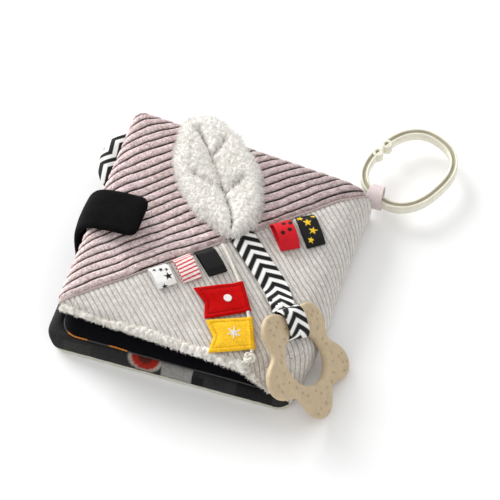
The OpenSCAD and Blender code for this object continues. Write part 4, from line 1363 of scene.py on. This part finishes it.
# section: a rounded bar with a groove along its top
sec = []
for x, z in ((-2.5, -2.9), (-2.0, -3.5), (0, -3.5), (2.0, -3.5), (2.5, -2.9), (2.5, 0), (2.5, 2.9), (2.2, 3.4), (1.7, 3.5), (1.2, 3.3), (1.05, 2.6), (0.6, 2.45), (0, 2.45), (-0.6, 2.45), (-1.05, 2.6), (-1.2, 3.3), (-1.7, 3.5), (-2.2, 3.4), (-2.5, 2.9), (-2.5, 0)):
    sec.append((x, z))
sec = np.array(sec)
lring = midl[:, None, :] + nn[:, None, :] * sec[None, :, 0:1]
lz = np.broadcast_to(sec[None, :, 1], lring.shape[:2])


def lw(x, y, z):
    return LCN + np.stack([x * math.cos(LA) - y * math.sin(LA), x * math.sin(LA) + y * math.cos(LA), z], -1)


bar = lw(lring[..., 0], lring[..., 1], lz)
ns = len(sec)
LCR, LINK_GROOVE_SHADE = lin((229, 225, 208)), lin((168, 162, 138))
bcol = np.ones(bar.shape) * LCR
# Painted shade: the groove along the bar's top gets a darker grey-brown.
gi = (sec[:, 1] < 3.0) & (sec[:, 1] > 2.3) & (np.abs(sec[:, 0]) < 1.1)
bcol[:, gi] = LINK_GROOVE_SHADE
Vb = np.vstack([bar.reshape(-1, 3), bar[0].mean(0), bar[-1].mean(0)])
nb = len(bar)
Tb = [(nb * ns, i, (i + 1) % ns) for i in range(ns)] + [(nb * ns + 1, (nb - 1) * ns + (i + 1) % ns, (nb - 1) * ns + i) for i in range(ns)]
parts = [(Vb, quads_of(nb, ns, wrap_m=True), Tb, np.vstack([bcol.reshape(-1, 3), [LCR, LCR]]), 0)]
prof = [(0.01, -3.5), (3.2, -3.5), (3.55, -3.1), (3.6, 0), (3.55, 3.1), (3.25, 3.5), (2.3, 3.55), (1.7, 3.4), (1.45, 2.9), (1.3, 1.4), (0.6, 1.3), (0.1, 1.3)]
for sx in (-4.4, 4.4):
    k = np.arange(36) * 2 * np.pi / 36
    pr = np.array(prof)
    X = sx + pr[:, 0:1] * np.cos(k)[None]
    Y = (LW - 1.0) + pr[:, 0:1] * np.sin(k)[None]
    Z = np.broadcast_to(pr[:, 1:2], X.shape)
    vv = lw(X, Y, Z)
    cc = np.ones(vv.shape) * LCR
    # Painted shade: the recess in each end cap gets the same darker grey-brown.
    cc[pr[:, 1] < 3.0] = np.where(np.array([r < 1.5 for r in pr[pr[:, 1] < 3.0][:, 0]])[:, None, None], LINK_GROOVE_SHADE, LCR)
    parts.append((vv, quads_of(len(prof), 36, wrap_m=True, flip=True), None, cc.reshape(-1, 3), 0))
V, Q, T, C, FM = join_parts(parts)
link = make("link_ring_open", V, Q, T, mats=[CREAM], col=C)

# the fabric loop that holds it
LO = np.array([80.5, 86.0, 11.5])
k = np.linspace(0, 2 * np.pi, 72, endpoint=False)
xw = np.linspace(-5.6, 5.6, 18)
outp = []
for rr_, sg in ((8.3, 1), (7.4, -1)):
    Rr = rr_ + 0.12 * np.cos(2 * k)[:, None] + 0.10 * noise2(k[:, None] * 3, xw[None] / 3, 5) * (1 if sg > 0 else 0)
    taper = (0.70 + 0.15 * (1 - np.cos(k)))[:, None]
    P = np.stack([LO[0] + xw[None] * taper, LO[1] + Rr * np.cos(k)[:, None], LO[2] + 0.86 * Rr * np.sin(k)[:, None]], -1)
    outp.append(P)
loopg = np.concatenate([outp[0], outp[1][:, ::-1]], 1)
loop = make("hanging_loop", loopg, quads_of(72, 36, wrap_n=True, wrap_m=True), mats=[PINK])

# ---------------------------------------------------------------- what stands for what, and what it rides on

for ob, node, slot_ in ((wide, "cover_wide_corduroy", "wide_corduroy"), (narrow, "cover_narrow_corduroy", "narrow_corduroy"), (leaf, "sherpa_leaf", "sherpa"), (star_t, "star_tag", "star_ribbon"),
                        (stripe_t, "stripe_tag", "stripe_ribbon"), (plain_t, "plain_tag", "black_ribbon"), (dot_t, "dot_tag", "dot_ribbon"), (gold_t, "gold_star_tag", "gold_star_ribbon"),
                        (cord, "flag_cord", "cord"), (knot, "cord_knot", "cord"), (red_p, "red_pennant", "red_felt"), (yel_p, "yellow_pennant", "yellow_felt"), (loopp, "closure_loop_patch", "hook_tape"),
                        (snap_cap, "snap_cap", "snap_plastic"), (snap_stud, "snap_stud", "snap_plastic")):
    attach(ob, "front_cover")
    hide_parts(node)
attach(lining, "front_cover")
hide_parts("cover_lining", "cover_wadding")
for ob, slot_ in ((join_seam, "narrow_corduroy"), (tail_fluff, "narrow_corduroy"), (tail_hair, "narrow_corduroy"), (leaf_hair, "sherpa"), (leaf_stitch, "sherpa")):
    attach(ob, "front_cover")
for ob, node, slot_ in ((back_pad, "back_cover_lining", "charcoal_print"), (back_cloth, "back_cover_cloth", "pale_cloth"), (pages, "page_block", "black_velvet"), (chev_tab, "chevron_tab", "chevron_ribbon"),
                        (tab, "closure_tab", "black_plush"), (hook, "closure_hook_patch", "hook_tape"), (loop, "hang_loop", "pink_ribbon")):
    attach(ob, "book")
    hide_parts(node)
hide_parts("back_cover_wadding")
for ob, slot_ in ((binding, "pale_cloth"), (page_seam, "black_velvet")):
    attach(ob, "book")
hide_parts("spine_cloth")
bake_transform(spine)
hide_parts("strap")
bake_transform(strap)
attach(teether, "teether")
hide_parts("teething_ring")
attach(link, "ring")
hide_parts("link_ring")

# ---------------------------------------------------------------- floor, light, camera

fm = bpy.data.materials.new("studio_floor")
fm.use_nodes = True
fb = fm.node_tree.nodes["Principled BSDF"]
fb.inputs["Base Color"].default_value = (0.95, 0.95, 0.95, 1)
fb.inputs["Roughness"].default_value = 0.9
fb.inputs["Specular IOR Level"].default_value = 0.0
floor = make("studio_floor", [(-6000, -6000, -0.15), (6000, -6000, -0.15), (6000, 6000, -0.15), (-6000, 6000, -0.15)], [(0, 1, 2, 3)], mats=[fm], flat=True)

world = bpy.data.worlds.new("studio")
bpy.context.scene.world = world
world.use_nodes = True
bg = world.node_tree.nodes["Background"]
bg.inputs[0].default_value = (1.0, 1.0, 1.0, 1)
bg.inputs[1].default_value = 0.84


def sun(name, direction, strength, angle):
    d = bpy.data.lights.new(name, "SUN")
    d.energy = strength
    d.angle = math.radians(angle)
    o = bpy.data.objects.new(name, d)
    o.rotation_euler = Vector(direction).to_track_quat("Z", "Y").to_euler()
    bpy.context.scene.collection.objects.link(o)
    return o


key = sun("key_light", (-0.85, 0.52, 0.45), 3.1, 36)

cam = bpy.data.cameras.new("camera")
cam.sensor_width = 36
cam.lens = 357.3
cam.clip_end = 50
co = bpy.data.objects.new("camera", cam)
back = Vector((0.1772, -0.5470, 0.8181)).normalized()
co.location = Vector((0.0135, 0.0287, 0.0)) + back * 3.2
co.rotation_euler = back.to_track_quat("Z", "Y").to_euler()
bpy.context.scene.collection.objects.link(co)
bpy.context.scene.camera = co
bpy.context.scene.view_settings.view_transform = "Standard"
bpy.context.scene.view_settings.look = "None"

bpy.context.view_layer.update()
